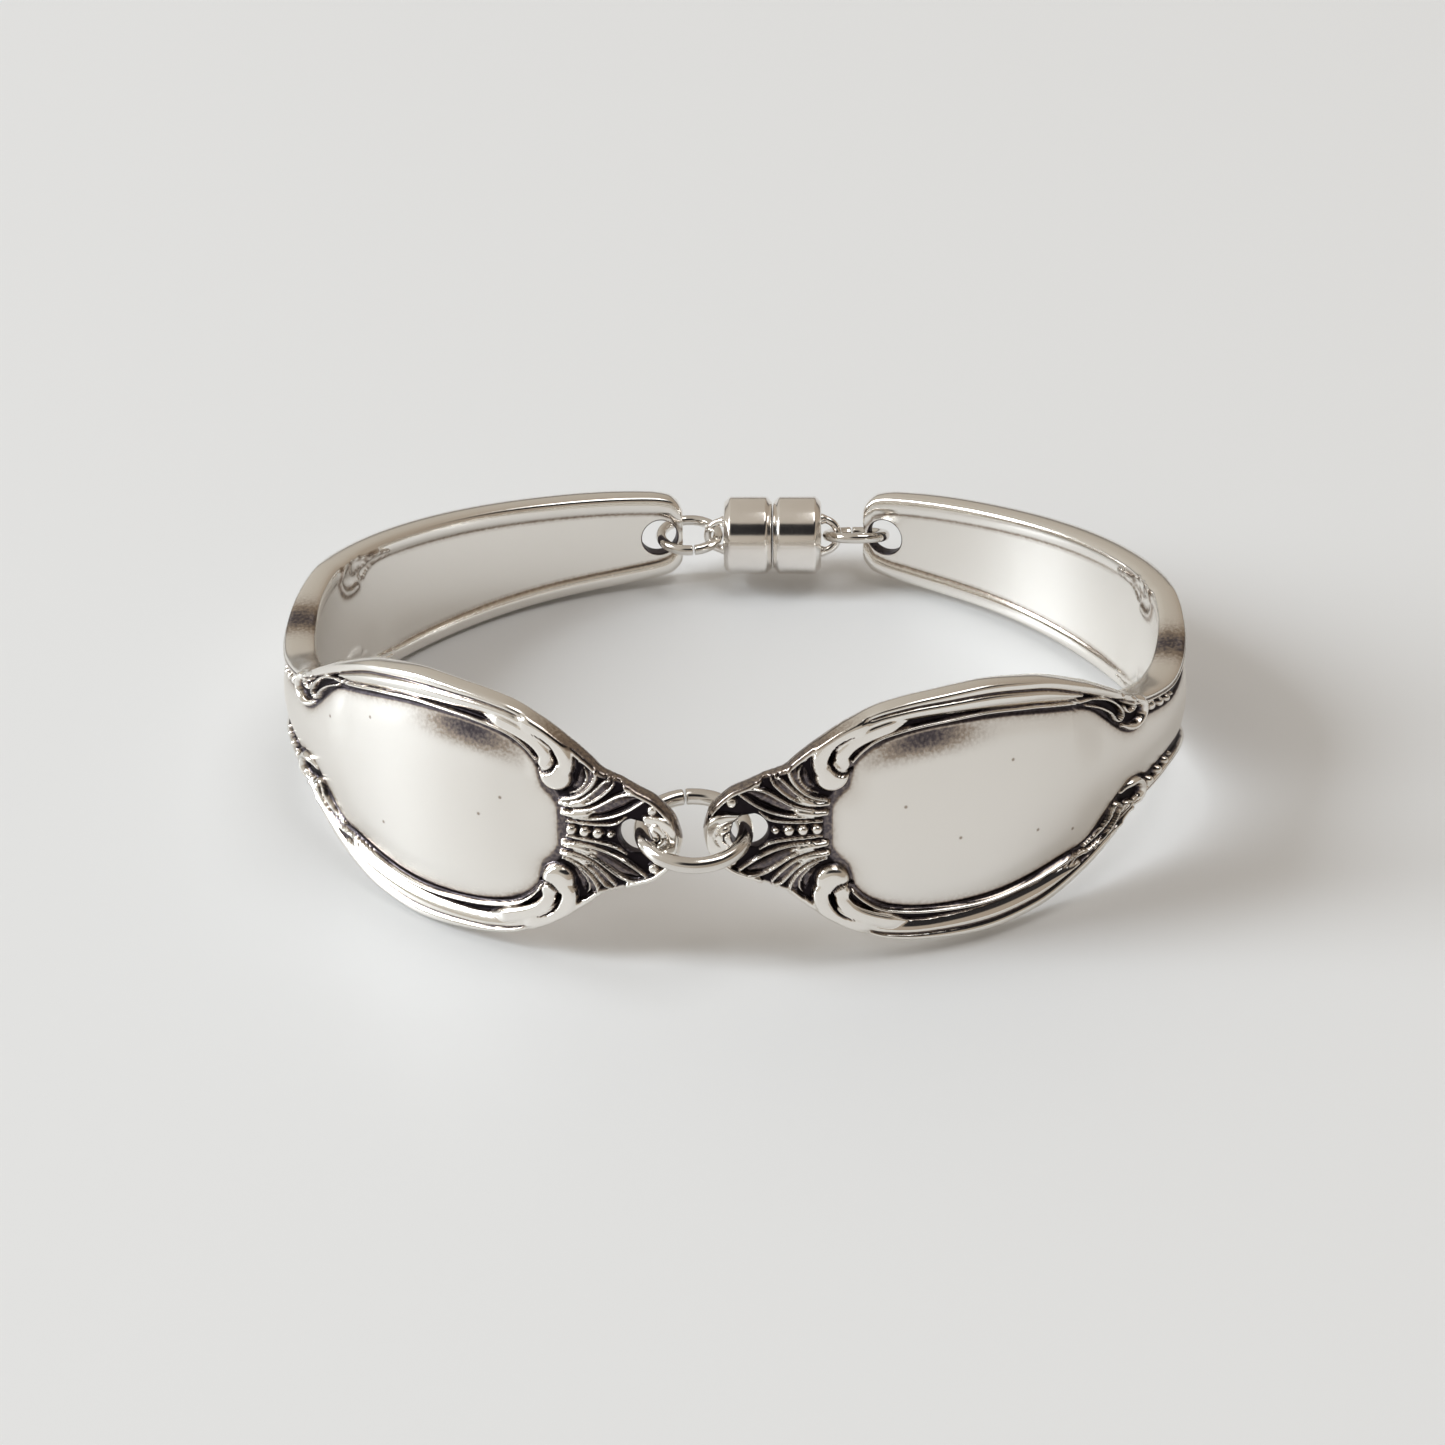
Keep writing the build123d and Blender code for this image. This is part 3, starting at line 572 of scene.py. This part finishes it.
# the whole handle as points, faces and the values painted on them
def handleMesh():
    stations = stationPlaces()
    length = handle["length"]
    thick = smoothTable(thicknessRows, stations / length)[:, None] / 2
    shrink = quarter(stations / handle["tipClose"])
    closing = quarter((length - stations) / handle["endRound"])
    shrink *= handle["endEdge"] + (1 - handle["endEdge"]) * closing
    borders = np.where(stations < mirrorPlace / 2, smoothTable(borderRows, stations), stemBorder)
    faces = {}
    for name, counts, border in (("outer", outerColumns, borders),
                                 ("inner", innerColumns, np.minimum(innerBorder, 0.5 * halfWidth(stations)))):
        t = columnPlaces(stations, counts, border)
        s = np.repeat(stations[:, None], t.shape[1], axis=1)
        middle = counts[0] + counts[1] // 2
        holes = []
        for (place, diameter), rows in zip((handle["tipHole"], handle["endHole"]), holeRows):
            row = int(np.abs(stations - place).argmin())
            columns = counts[1] // 2
            openHole(s, t, row, middle, rows, columns, place, diameter / 2 + handle["holeRound"])
            holes.append((row, middle, rows * 2 // 3, columns * 2 // 3, place, diameter / 2))
        relief = faceRelief(s, t, name == "outer")
        level = (thick + relief["height"]) * shrink[:, None]
        faces[name] = {"s": s, "t": t, "holes": holes, "h": level, **relief}
    outer, inner = faces["outer"], faces["inner"]

    # the rim: a squared arc from the outer face's last column to the inner face's, bulging to the edge,
    # lift = sin(phi)^0.85 and bulge = cos(phi)^0.8
    phi = np.linspace(np.pi / 2, -np.pi / 2, rimColumns + 2)[1:-1]
    lift = np.sign(np.sin(phi)) * np.abs(np.sin(phi)) ** 0.85
    bulge = np.cos(phi) ** 0.8
    half = halfWidth(stations)[:, None]
    reach = half - outer["t"][:, :1]

    def rimLevel(edge):  # from the outer face's level down to the inner face's
        high, low = outer["h"][:, edge], -inner["h"][:, edge]
        return (high + low) / 2 + (high - low) / 2 * lift

    rimT = half - reach * (1 - bulge)
    blank = np.zeros_like(rimT)
    rimS = blank + stations[:, None]
    # painted shade on the rim: dark reflections painted at the neck and round the fan, shown on the upper rim
    # only
    rimShade = 0.9 * bell(rimS, 43, 1.5) + 0.7 * (1 - ease(rimS, 7, 12))

    # one ring of columns round each station: outer face, lower rim, inner face, upper rim
    def ringOf(name, lower, upper, sign=1):
        return np.concatenate((outer[name], lower, sign * inner[name][:, ::-1], upper), 1)

    rings = {"s": ringOf("s", rimS, rimS), "t": ringOf("t", -rimT, rimT[:, ::-1]),
             "h": ringOf("h", rimLevel(slice(-1, None)), rimLevel(slice(0, 1))[:, ::-1], -1),
             "tarnish": ringOf("tarnish", blank, blank), "satin": ringOf("satin", blank, blank),
             "stain": ringOf("stain", rimShade, rimShade)}
    rows, columns = rings["s"].shape
    index = np.arange(rows * columns).reshape(rows, columns)
    right = np.roll(index, -1, axis=1)
    cells = np.stack([index[:-1], index[1:], right[1:], right[:-1]], -1)
    keep = np.ones((rows - 1, columns), bool)
    blocks = {name: [ring.ravel()] for name, ring in rings.items()}

    # adds points beyond the rings, 0 where no value is given, and returns their numbers
    def addPoints(**given):
        start, size = sum(map(len, blocks["s"])), len(given["s"])
        for name, block in blocks.items():
            block.append(np.broadcast_to(given.get(name, 0.0), size))
        return np.arange(start, start + size)

    # both holes: each face's edge is rounded into the hole, and the two edges are joined by its wall, which
    # carries a painted shade that darkens the hole
    mirrorColumn = outer["s"].shape[1] + rimColumns + inner["s"].shape[1] - 1
    triangles, quads = [], []
    for which in (0, 1):
        ends = []
        for name, sign in (("outer", 1), ("inner", -1)):
            row, column, rowReach, columnReach, place, radius = faces[name]["holes"][which]
            i, j = loopIndices(row, column, rowReach, columnReach)
            ringJ = j if name == "outer" else mirrorColumn - j
            low = (column if name == "outer" else mirrorColumn - column) - columnReach
            keep[row - rowReach:row + rowReach, low:low + 2 * columnReach] = False
            last, level = index[i, ringJ], rings["h"][i, ringJ]
            angle = np.arctan2(faces[name]["t"][i, j], faces[name]["s"][i, j] - place)
            for k in range(1, holeSteps + 1):
                phi = k / holeSteps * np.pi / 2
                reach = radius + handle["holeRound"] * (1 - np.sin(phi))
                drop = handle["holeRound"] * (1 - np.cos(phi))
                new = addPoints(s=place + reach * np.cos(angle), t=reach * np.sin(angle),
                                h=level - sign * drop, tarnish=patina["holeShade"])
                quads.append(np.stack([last, np.roll(last, -1), np.roll(new, -1), new], 1))
                last = new
            ends.append((last, angle))
        triangles.append(zipRings(ends[0][0], ends[1][0], ends[0][1], ends[1][1]))
    quads.append(cells[keep])
    for row, place in ((0, 0.0), (rows - 1, length)):
        tip = addPoints(s=[place], t=[0.0], h=[rings["h"][row].mean()])
        triangles.append(fanFaces(index[row], tip))
    data = {name: np.concatenate(block) for name, block in blocks.items()}
    points = onHandle(data["s"], data["t"], data["h"])
    return points, [np.concatenate(quads), np.concatenate(triangles)], data


# a new object in the scene
def addObject(name, data):
    thing = bpy.data.objects.new(name, data)
    bpy.context.collection.objects.link(thing)
    return thing


# puts points and faces into a new object at the origin, with one value of each kind at each point
def makePiece(name, points, faces, values, material):
    used = np.unique(np.concatenate([block.ravel() for block in faces]))
    order = np.full(len(points), -1)
    order[used] = np.arange(len(used))
    sizes = np.concatenate([np.full(len(block), block.shape[1]) for block in faces])
    corners = order[np.concatenate([block.ravel() for block in faces])]
    mesh = bpy.data.meshes.new(name)
    mesh.vertices.add(len(used))
    mesh.vertices.foreach_set("co", points[used].ravel())
    mesh.loops.add(len(corners))
    mesh.loops.foreach_set("vertex_index", corners)
    mesh.polygons.add(len(sizes))
    mesh.polygons.foreach_set("loop_start", np.concatenate(([0], np.cumsum(sizes)[:-1])))
    mesh.polygons.foreach_set("use_smooth", np.ones(len(sizes), bool))
    mesh.update(calc_edges=True)
    mesh.validate()
    shell = bmesh.new()
    shell.from_mesh(mesh)
    bmesh.ops.recalc_face_normals(shell, faces=shell.faces)
    shell.to_mesh(mesh)
    shell.free()
    for kind, amounts in values.items():
        size = amounts.shape[1] if amounts.ndim > 1 else 1
        layer = mesh.attributes.new(kind, "FLOAT_VECTOR" if size == 3 else "FLOAT", "POINT")
        layer.data.foreach_set("vector" if size == 3 else "value", amounts[used].ravel())
    if "place" in values:
        spots = values["place"][used][corners]
        layer = mesh.uv_layers.new(name="acrossAlong")
        layer.data.foreach_set("uv", (spots[:, 1::-1] * 0.01 + 0.5).ravel())
    mesh.materials.append(material)
    return addObject(name, mesh)


print("materials")


# sets or links a node's inputs, each named with _ for a space or by its number as i0, i1 and so on
def plug(tree, node, **inputs):
    for name, value in inputs.items():
        numbered = name[0] == "i" and name[1:].isdigit()
        socket = node.inputs[int(name[1:]) if numbered else name.replace("_", " ")]
        if isinstance(value, bpy.types.NodeSocket):
            tree.links.new(value, socket)
        else:
            socket.default_value = value


# adds one node with its settings and inputs
def addNode(tree, kind, settings=None, **inputs):
    node = tree.nodes.new(kind)
    for name, value in (settings or {}).items():
        setattr(node, name, value)
    plug(tree, node, **inputs)
    return node


# the result of one sum on sockets and numbers
def mathNode(tree, operation, *terms):
    inputs = {f"i{k}": term for k, term in enumerate(terms)}
    return addNode(tree, "ShaderNodeMath", {"operation": operation}, **inputs).outputs[0]


# a value carried from low and high to the range from start to end, held at its limits
def ranged(tree, value, low, high, start=0.0, end=1.0, kind="LINEAR"):
    return addNode(tree, "ShaderNodeMapRange", {"interpolation_type": kind}, Value=value, From_Min=low,
                   From_Max=high, To_Min=start, To_Max=end).outputs[0]


# from colour a to colour b by a share
def mixed(tree, share, a, b):
    return addNode(tree, "ShaderNodeMix", {"data_type": "RGBA"}, Factor=share, i6=a, i7=b).outputs[2]


# a cloudy pattern on the object's own coordinates, from 0 to 1
def cloud(tree, scale, detail):
    coords = addNode(tree, "ShaderNodeTexCoord").outputs["Object"]
    return addNode(tree, "ShaderNodeTexNoise", Vector=coords, Scale=scale, Detail=detail).outputs["Fac"]


# the normal of a surface raised by height
def raised(tree, height, strength, distance):
    return addNode(tree, "ShaderNodeBump", Height=height, Strength=strength, Distance=distance).outputs[0]


# the value painted on the points under a name
def painted(tree, name, output="Fac"):
    return addNode(tree, "ShaderNodeAttribute", {"attribute_name": name}).outputs[output]


# a material with its node tree and its shader
def newMaterial(name):
    material = bpy.data.materials.new(name)
    material.use_nodes = True
    return material, material.node_tree, material.node_tree.nodes["Principled BSDF"]


handleLook = {
    "polished": 0.12, "satin": 0.27,  # roughness
    "silver": (0.90, 0.868, 0.82, 1), "worn": (0.42, 0.35, 0.29, 1), "grey": (0.125, 0.108, 0.118, 1),
    "black": (0.020, 0.016, 0.019, 1),
    "wornAt": 0.32, "greyAt": 0.62, "blackAt": 0.92,  # blackening at which each colour stands
    "blackRough": 0.3,  # added to the roughness where it is black
    "brushed": 0.94,  # anisotropy
    "mottling": 0.5, "mottleScale": 4200.0,
    "pit": 0.34, "pitSize": (0.008, 0.022), "pitScale": 0.13,
    "grain": 0.08, "grainDepth": 0.00004, "grainScale": 2600.0,
}


# polished silver, satin where the panel is, brown to black where the recesses hold their patina and where
# shade is painted
def handleSilver():
    look = handleLook
    material, tree, shader = newMaterial("handleSilver")
    tarnish, satin = painted(tree, "tarnish"), painted(tree, "satin")
    patch = cloud(tree, look["mottleScale"], 3.0)
    blotch = ranged(tree, patch, 0.3, 0.7, -look["mottling"], look["mottling"])
    between = mathNode(tree, "MULTIPLY", tarnish, mathNode(tree, "SUBTRACT", 1.0, tarnish))
    mottled = mathNode(tree, "MULTIPLY_ADD", between, blotch, tarnish)
    # pits show on the satin of the outer face only
    pits = addNode(tree, "ShaderNodeTexVoronoi", {"voronoi_dimensions": "2D"},
                   Vector=painted(tree, "place", "Vector"), Scale=look["pitScale"])
    pit = ranged(tree, pits.outputs["Distance"], *look["pitSize"], look["pit"], 0.0)
    seen = mathNode(tree, "MULTIPLY_ADD", pit, ranged(tree, satin, 0.7, 1.0), mottled)
    ramp = addNode(tree, "ShaderNodeValToRGB", Fac=seen)
    ramp.color_ramp.elements[0].color = look["silver"]
    ramp.color_ramp.elements[1].position = look["blackAt"]
    ramp.color_ramp.elements[1].color = look["black"]
    for tone in ("worn", "grey"):
        ramp.color_ramp.elements.new(look[tone + "At"]).color = look[tone]
    base = ranged(tree, satin, 0.0, 1.0, look["polished"], look["satin"])
    dull = ranged(tree, tarnish, 0.4, 0.9, 0.0, look["blackRough"])
    fine = mathNode(tree, "MULTIPLY", cloud(tree, look["grainScale"], 3.0), satin)
    # wiped along the handle, so highlights spread across it
    across = addNode(tree, "ShaderNodeTangent", {"direction_type": "UV_MAP", "uv_map": "acrossAlong"})
    plug(tree, shader, Base_Color=ramp.outputs["Color"], Metallic=1.0, Anisotropic=look["brushed"],
         Tangent=across.outputs["Tangent"], Roughness=mathNode(tree, "ADD", base, dull),
         Normal=raised(tree, fine, look["grain"], look["grainDepth"]))
    return material


# bright metal with a slightly uneven polish and fine wear
def plainMetal(name, colour, roughness, spread, grainScale):
    material, tree, shader = newMaterial(name)
    grain = cloud(tree, grainScale, 4.0)
    tint = mixed(tree, grain, tuple(0.88 * c for c in colour) + (1,), colour + (1,))
    rough = ranged(tree, grain, 0.0, 1.0, roughness - spread, roughness + spread)
    plug(tree, shader, Base_Color=tint, Metallic=1.0, Roughness=rough,
         Normal=raised(tree, grain, 0.15, 0.00003))
    return material


# colour, roughness and how far it varies, scale of the grain
plainLooks = {
    "ringSilver": ((0.80, 0.765, 0.72), 0.11, 0.04, 900.0),
    "claspSilver": ((0.95, 0.91, 0.865), 0.14, 0.04, 700.0),
    "magnetNickel": ((0.55, 0.55, 0.56), 0.3, 0.06, 1200.0),
}
silver = handleSilver()
ringSilver, claspSilver, magnetNickel = (plainMetal(name, *look) for name, look in plainLooks.items())
for name, node in frame["nodes"].items():
    look = ringSilver if "ring" in name else claspSilver if "clasp" in name else magnetNickel
    node.data.materials.clear()
    node.data.materials.append(look)

print("handles")
points, faces, data = handleMesh()
values = {"satin": data["satin"]}
for side, word in ((-1, "left"), (1, "right")):
    values["place"] = np.stack([data["s"] + 50 * side, data["t"], 0 * data["s"]], 1)
    # the painted shade lies on the upper side only, and the left handle is upside down
    values["tarnish"] = np.maximum(data["tarnish"], patina["stain"] * data["stain"] * (side * data["t"] > 0))
    piece = makePiece("spoonHandle_" + word, placeHandle(points, side), faces, values, silver)
    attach(piece, "half_" + word)
    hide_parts("handle_" + word)
    print("  ", piece.name, len(piece.data.vertices), "points")

print("rings and clasp")
links = {
    "frontWire": 1.15, "frontRing": 7.2, "frontSag": 14.3, "frontSplit": 94,
    "backWire": 0.8, "backRing": 4.4, "backSplit": 100, "split": 0.12,
    "endSlack": 0.16, "tiltLeft": 7.6, "tiltRight": -18.0,
    "clasp": 6.0, "halfLength": 3.7, "bevel": 0.45, "bevelRound": 0.12, "capDome": 0.06,
    "magnet": 4.28, "magnetDepth": 2.04, "pocketRound": 0.06,
    "loopWire": 0.6, "loop": 2.5, "loopArc": 96, "clearance": 0.10,
    "solder": 0.45, "solderReach": 0.22,  # how much thicker the loop is at its feet, and how far up
}
links["loopReach"] = links["backWire"] + 2 * links["clearance"] + links["loopWire"] / 2
links["chainSide"] = links["endSlack"] + links["backRing"] + links["backWire"] / 2 + links["clearance"]


# points of a frame with x toward a plan direction and z turned back about it by tilt degrees
def inFrame(points, origin, toward, tilt):
    ux, uy = np.array(toward) / math.hypot(*toward)
    c, s = cosSin(tilt)
    x, z = np.array([ux, uy, 0]), np.array([uy * s, -ux * s, c])
    return onLoop(np.array([*origin, 0]) + points @ np.array([x, np.cross(z, x), z]))


# quads between neighbouring rows of a grid of points whose columns close on themselves
def tubeFaces(rows, columns):
    index = np.arange(rows * columns).reshape(rows, columns)
    right = np.roll(index, -1, axis=1)
    return np.stack([index[:-1], right[:-1], right[1:], index[1:]], -1).reshape(-1, 4)


# a round wire along a line: centre + radius (cos v across + sin v up), with its ends' edges rounded
def wireAlong(line, across, up, radius, around=28):
    v = 2 * np.pi * np.arange(around) / around
    run = np.gradient(line, axis=0)
    run /= np.linalg.norm(run, axis=1, keepdims=True)
    caps = [(0.55, 0.10), (0.85, 0.04)]  # rings across an end: share of the radius, set back by a share of it
    lastBack = 0.17  # of the full ring at an end
    last = len(line) - 1
    # rings along the wire: its point on the line, share of the radius, how far it is set back
    rings = [(0, share, back) for share, back in caps]
    rings += [(k, 1.0, lastBack if k in (0, last) else 0) for k in range(last + 1)]
    rings += [(last, share, back) for share, back in caps[::-1]]
    k = np.array([ring[0] for ring in rings])
    share, back = (np.array([ring[place] for ring in rings])[:, None] for place in (1, 2))
    wide = radius[k][:, None]
    inward = np.where(k == 0, 1, np.where(k == last, -1, 0))[:, None]
    centre = line[k] + run[k] * inward * back * wide
    spokes = np.cos(v)[:, None] * across[k][:, None] + np.sin(v)[:, None] * up[k][:, None]
    points = centre[:, None] + (share * wide)[:, None] * spokes
    count = len(rings) * around
    tips = np.stack([line[0], line[-1]])
    tubes = tubeFaces(len(rings), around)
    first = np.arange(around)
    fans = np.concatenate((fanFaces(first, count)[:, [1, 0, 2]], fanFaces(count - around + first, count + 1)))
    return np.concatenate((points.reshape(-1, 3), tips)), tubes, fans


# a jump ring about z: an arc of wire that stops short of itself at the split
def jumpRing(diameter, wire, split, steps=128):
    reach = diameter / 2
    gap = links["split"] / reach
    u = math.radians(split) + np.linspace(gap / 2, 2 * np.pi - gap / 2, steps)
    across = np.stack([np.cos(u), np.sin(u), 0 * u], 1)
    up = np.tile([0.0, 0.0, 1.0], (steps, 1))
    return wireAlong(across * reach, across, up, np.full(steps, wire / 2))


# a profile whose corners are rounded by quadratic curves between two points set back from each
def roundedProfile(corners, steps=5):
    blocks = [np.array([corners[0][:2]], float)]
    u = np.linspace(0, 1, steps)[:, None]
    for before, here, after in zip(corners, corners[1:], corners[2:]):
        a, b, c = (np.array(corner[:2], float) for corner in (before, here, after))
        start = b + (a - b) / np.linalg.norm(a - b) * here[2]
        end = b + (c - b) / np.linalg.norm(c - b) * here[2]
        blocks.append((1 - u) ** 2 * start + 2 * u * (1 - u) * b + u * u * end)
    return np.concatenate(blocks + [np.array([corners[-1][:2]], float)])


# half the barrel about x, its mouth at the origin facing -x: one profile turned round the axis,
# with its soldered loop
def claspHalf(around=96):
    radius, length, bevel = links["clasp"] / 2, links["halfLength"], links["bevel"]
    pocket, depth, soft = links["magnet"] / 2, links["magnetDepth"], links["bevelRound"]
    edge, top = links["pocketRound"], length + links["capDome"]
    profile = roundedProfile([
        (depth, 0.02, 0), (depth, pocket, edge), (0.0, pocket, edge), (0.0, radius - bevel, soft),
        (bevel, radius, soft), (length - bevel, radius, soft), (length, radius - bevel, soft),
        (length, 0.9, 0.2), (top, 0.02, 0)])
    v = 2 * np.pi * np.arange(around) / around
    away = profile[:, 1:]
    cup = np.stack([np.repeat(profile[:, :1], around, 1), away * np.cos(v), away * np.sin(v)], -1)
    points, quads = cup.reshape(-1, 3), tubeFaces(len(profile), around)
    count, first = len(points), np.arange(around)
    fans = [fanFaces(first, count), fanFaces(count - around + first, count + 1)[:, [1, 0, 2]]]
    points = np.concatenate((points, [[depth, 0, 0], [top, 0, 0]]))
    # the loop stands out of the end cap, thicker where solder fills its feet
    reach = links["loop"] / 2
    u = np.radians(np.linspace(-links["loopArc"], links["loopArc"], 49))
    centre = length + links["loopReach"] - reach
    across = np.stack([np.cos(u), 0 * u, np.sin(u)], 1)
    up = np.tile([0.0, 1.0, 0.0], (len(u), 1))
    foot = bell(reach * np.cos(u), 0, links["solderReach"])
    wire, tubes, caps = wireAlong(across * reach + [centre, 0, 0], across, up,
                                  links["loopWire"] / 2 * (1 + links["solder"] * foot), 20)
    return (np.concatenate((points, wire)), [np.concatenate((quads, tubes + len(points))),
                                             np.concatenate(fans + [caps + len(points)])])


# one ring or clasp half in place of a node, on its body
def addLink(name, node, body, points, faces, look):
    piece = makePiece(name, points, faces, {}, look)
    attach(piece, body)
    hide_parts(node)


points, quads, fans = jumpRing(links["frontRing"], links["frontWire"], links["frontSplit"])
addLink("jumpRing_front", "front_ring", "front_ring",
        inFrame(points, (0, 0), (crossX, crossY), links["frontSag"]), [quads, fans], ringSilver)
ends = {}
for side in (-1, 1):
    tip = tipPlace(side)
    endX, endY = (np.interp(handle["endHole"][0], path[0], line) for line in path[1:3])
    x, y = turned(endX, endY, handle["heading"][side])
    ends[side] = np.array([tip[0] + side * x, tip[1] + y])
chain = (ends[1] - ends[-1]) / np.linalg.norm(ends[1] - ends[-1])
for side, word, tilt in ((-1, "left", links["tiltLeft"]), (1, "right", links["tiltRight"])):
    outward = side * chain
    centre = ends[side] - outward * (links["endSlack"] + links["backRing"] / 2)
    points, quads, fans = jumpRing(links["backRing"], links["backWire"], links["backSplit"], 96)
    addLink("jumpRing_back_" + word, "back_ring_" + word, "half_" + word,
            inFrame(points, centre, outward, side * tilt), [quads, fans], ringSilver)
    mouth = ends[side] - outward * (links["chainSide"] + links["halfLength"])
    points, faces = claspHalf()
    addLink("claspHalf_" + word, "clasp_half_" + word, "half_" + word,
            inFrame(points, mouth, outward, side * tilt), faces, claspSilver)

print("floor, light and camera")
studio = {
    "floorColour": (0.838, 0.838, 0.840, 1),
    "roomLeft": (0.555, 0.52, 0.465),
    "roomRight": (0.375, 0.32, 0.26),
    "darkSide": (0.022, 0.021, 0.022),
    "darkBand": (31, 66),  # elevations between which the room is dark at the front right, degrees
    "darkAzimuth": -60, "darkWidth": (46, 70),  # degrees from +X toward +Y; full within, none beyond
    "elevation": 33.975, "distance": 388.6, "roll": -0.776,
    "focal": 5440 / 1445,  # of the frame's width
    "aim": (2.1, 13.95, -0.4),  # from the front ring's middle, mm
    "lightDistance": 2.0,
    "lights": [  # name, azimuth and elevation, aim, size, power, colour
        ("windowLeft", 184, 29, (0, 0, 0.01), (0.58, 1.5), 37.0, (0.87, 0.94, 1.0)),
        ("fillRight", 5, 72, (0, 0, 0), (0.9, 0.9), 7.0, (0.96, 0.98, 1.0)),
    ],
    "floorSize": 6.0, "floorRough": 0.35, "floorGloss": 0.3,
}


# a wide pale floor
def floorPlane():
    size = studio["floorSize"] / 2
    mesh = bpy.data.meshes.new("floor")
    corners = [(-size, -size, 0), (size, -size, 0), (size, size, 0), (-size, size, 0)]
    mesh.from_pydata(corners, [], [(0, 1, 2, 3)])
    material, tree, shader = newMaterial("floorPaint")
    pale = studio["floorColour"]
    tint = mixed(tree, cloud(tree, 9.0, 2.0), tuple(0.985 * c for c in pale[:3]) + (1,), pale)
    plug(tree, shader, Base_Color=tint, Roughness=studio["floorRough"],
         Specular_IOR_Level=studio["floorGloss"])
    mesh.materials.append(material)
    floor = addObject("floor", mesh)


# place of a light: its azimuth and elevation in degrees, seen from the loop, and its distance
def skyPlace(azimuth, elevation, distance):
    (east, north), (level, up) = cosSin(azimuth), cosSin(elevation)
    return distance * level * east, distance * level * north, distance * up


# a soft window that faces a point
def areaLight(name, place, aim, size, power, colour):
    data = bpy.data.lights.new(name, "AREA")
    data.shape = "RECTANGLE"
    data.size, data.size_y = size
    data.energy = power
    data.color = colour
    lamp = addObject(name, data)
    lamp.location = place
    lamp.rotation_euler = (Vector(aim) - Vector(place)).to_track_quat("-Z", "Y").to_euler()


# the room as a colour for each direction: brighter to the left, dark at the front right between two
# elevations, and darker low behind
def roomWorld():
    world = bpy.data.worlds.new("room")
    world.use_nodes = True
    tree = world.node_tree

    # 0 at low, 1 at high, smooth between
    def between(value, low, high):
        return ranged(tree, value, low, high, kind="SMOOTHSTEP")

    # the product of two sockets, or of a socket and a number
    def times(a, b):
        return mathNode(tree, "MULTIPLY", a, b)

    direction = addNode(tree, "ShaderNodeTexCoord").outputs["Generated"]
    parts = addNode(tree, "ShaderNodeSeparateXYZ", Vector=direction).outputs
    level = addNode(tree, "ShaderNodeVectorMath", {"operation": "MULTIPLY"}, i0=direction, i1=(1, 1, 0))
    level = addNode(tree, "ShaderNodeVectorMath", {"operation": "NORMALIZE"}, i0=level.outputs[0])
    facing = addNode(tree, "ShaderNodeVectorMath", {"operation": "DOT_PRODUCT"}, i0=level.outputs[0],
                     i1=(*cosSin(studio["darkAzimuth"]), 0)).outputs["Value"]
    full, none = (cosSin(angle)[0] for angle in studio["darkWidth"])
    low, high = (cosSin(angle)[1] for angle in studio["darkBand"])
    band = times(between(parts["Z"], low - 0.04, low + 0.04), between(parts["Z"], high + 0.02, high - 0.02))
    dark = times(band, between(facing, none, full))
    behind = times(between(parts["Z"], 0.16, 0.06), between(parts["Y"], 0.2, 0.5))
    left, right, shade = (studio[name] + (1,) for name in ("roomLeft", "roomRight", "darkSide"))
    room = mixed(tree, between(parts["X"], -0.5, 0.7), left, right)
    room = mixed(tree, times(behind, 0.7), room, shade)
    plug(tree, tree.nodes["Background"], Color=mixed(tree, dark, room, shade), Strength=1.0)
    bpy.context.scene.world = world


# the photo's camera: it looks at the aim from the front, tilted down and rolled a little
def photoCamera():
    data = bpy.data.cameras.new("camera")
    data.sensor_width = 36
    data.lens = 36 * studio["focal"]
    data.clip_start = 0.01
    camera = addObject("camera", data)
    aim = ringCentre + Vector(studio["aim"]) * mm
    level, up = cosSin(studio["elevation"])
    away = Vector((0, -level, up))
    camera.location = aim + away * studio["distance"] * mm
    roll = Matrix.Rotation(math.radians(studio["roll"]), 3, "Z")
    turn = (-away).to_track_quat("-Z", "Y").to_matrix() @ roll
    camera.rotation_euler = turn.to_euler()
    bpy.context.scene.camera = camera


floorPlane()
roomWorld()
for name, azimuth, elevation, *rest in studio["lights"]:
    areaLight(name, skyPlace(azimuth, elevation, studio["lightDistance"]), *rest)
photoCamera()
bpy.context.scene.view_settings.view_transform = "Standard"
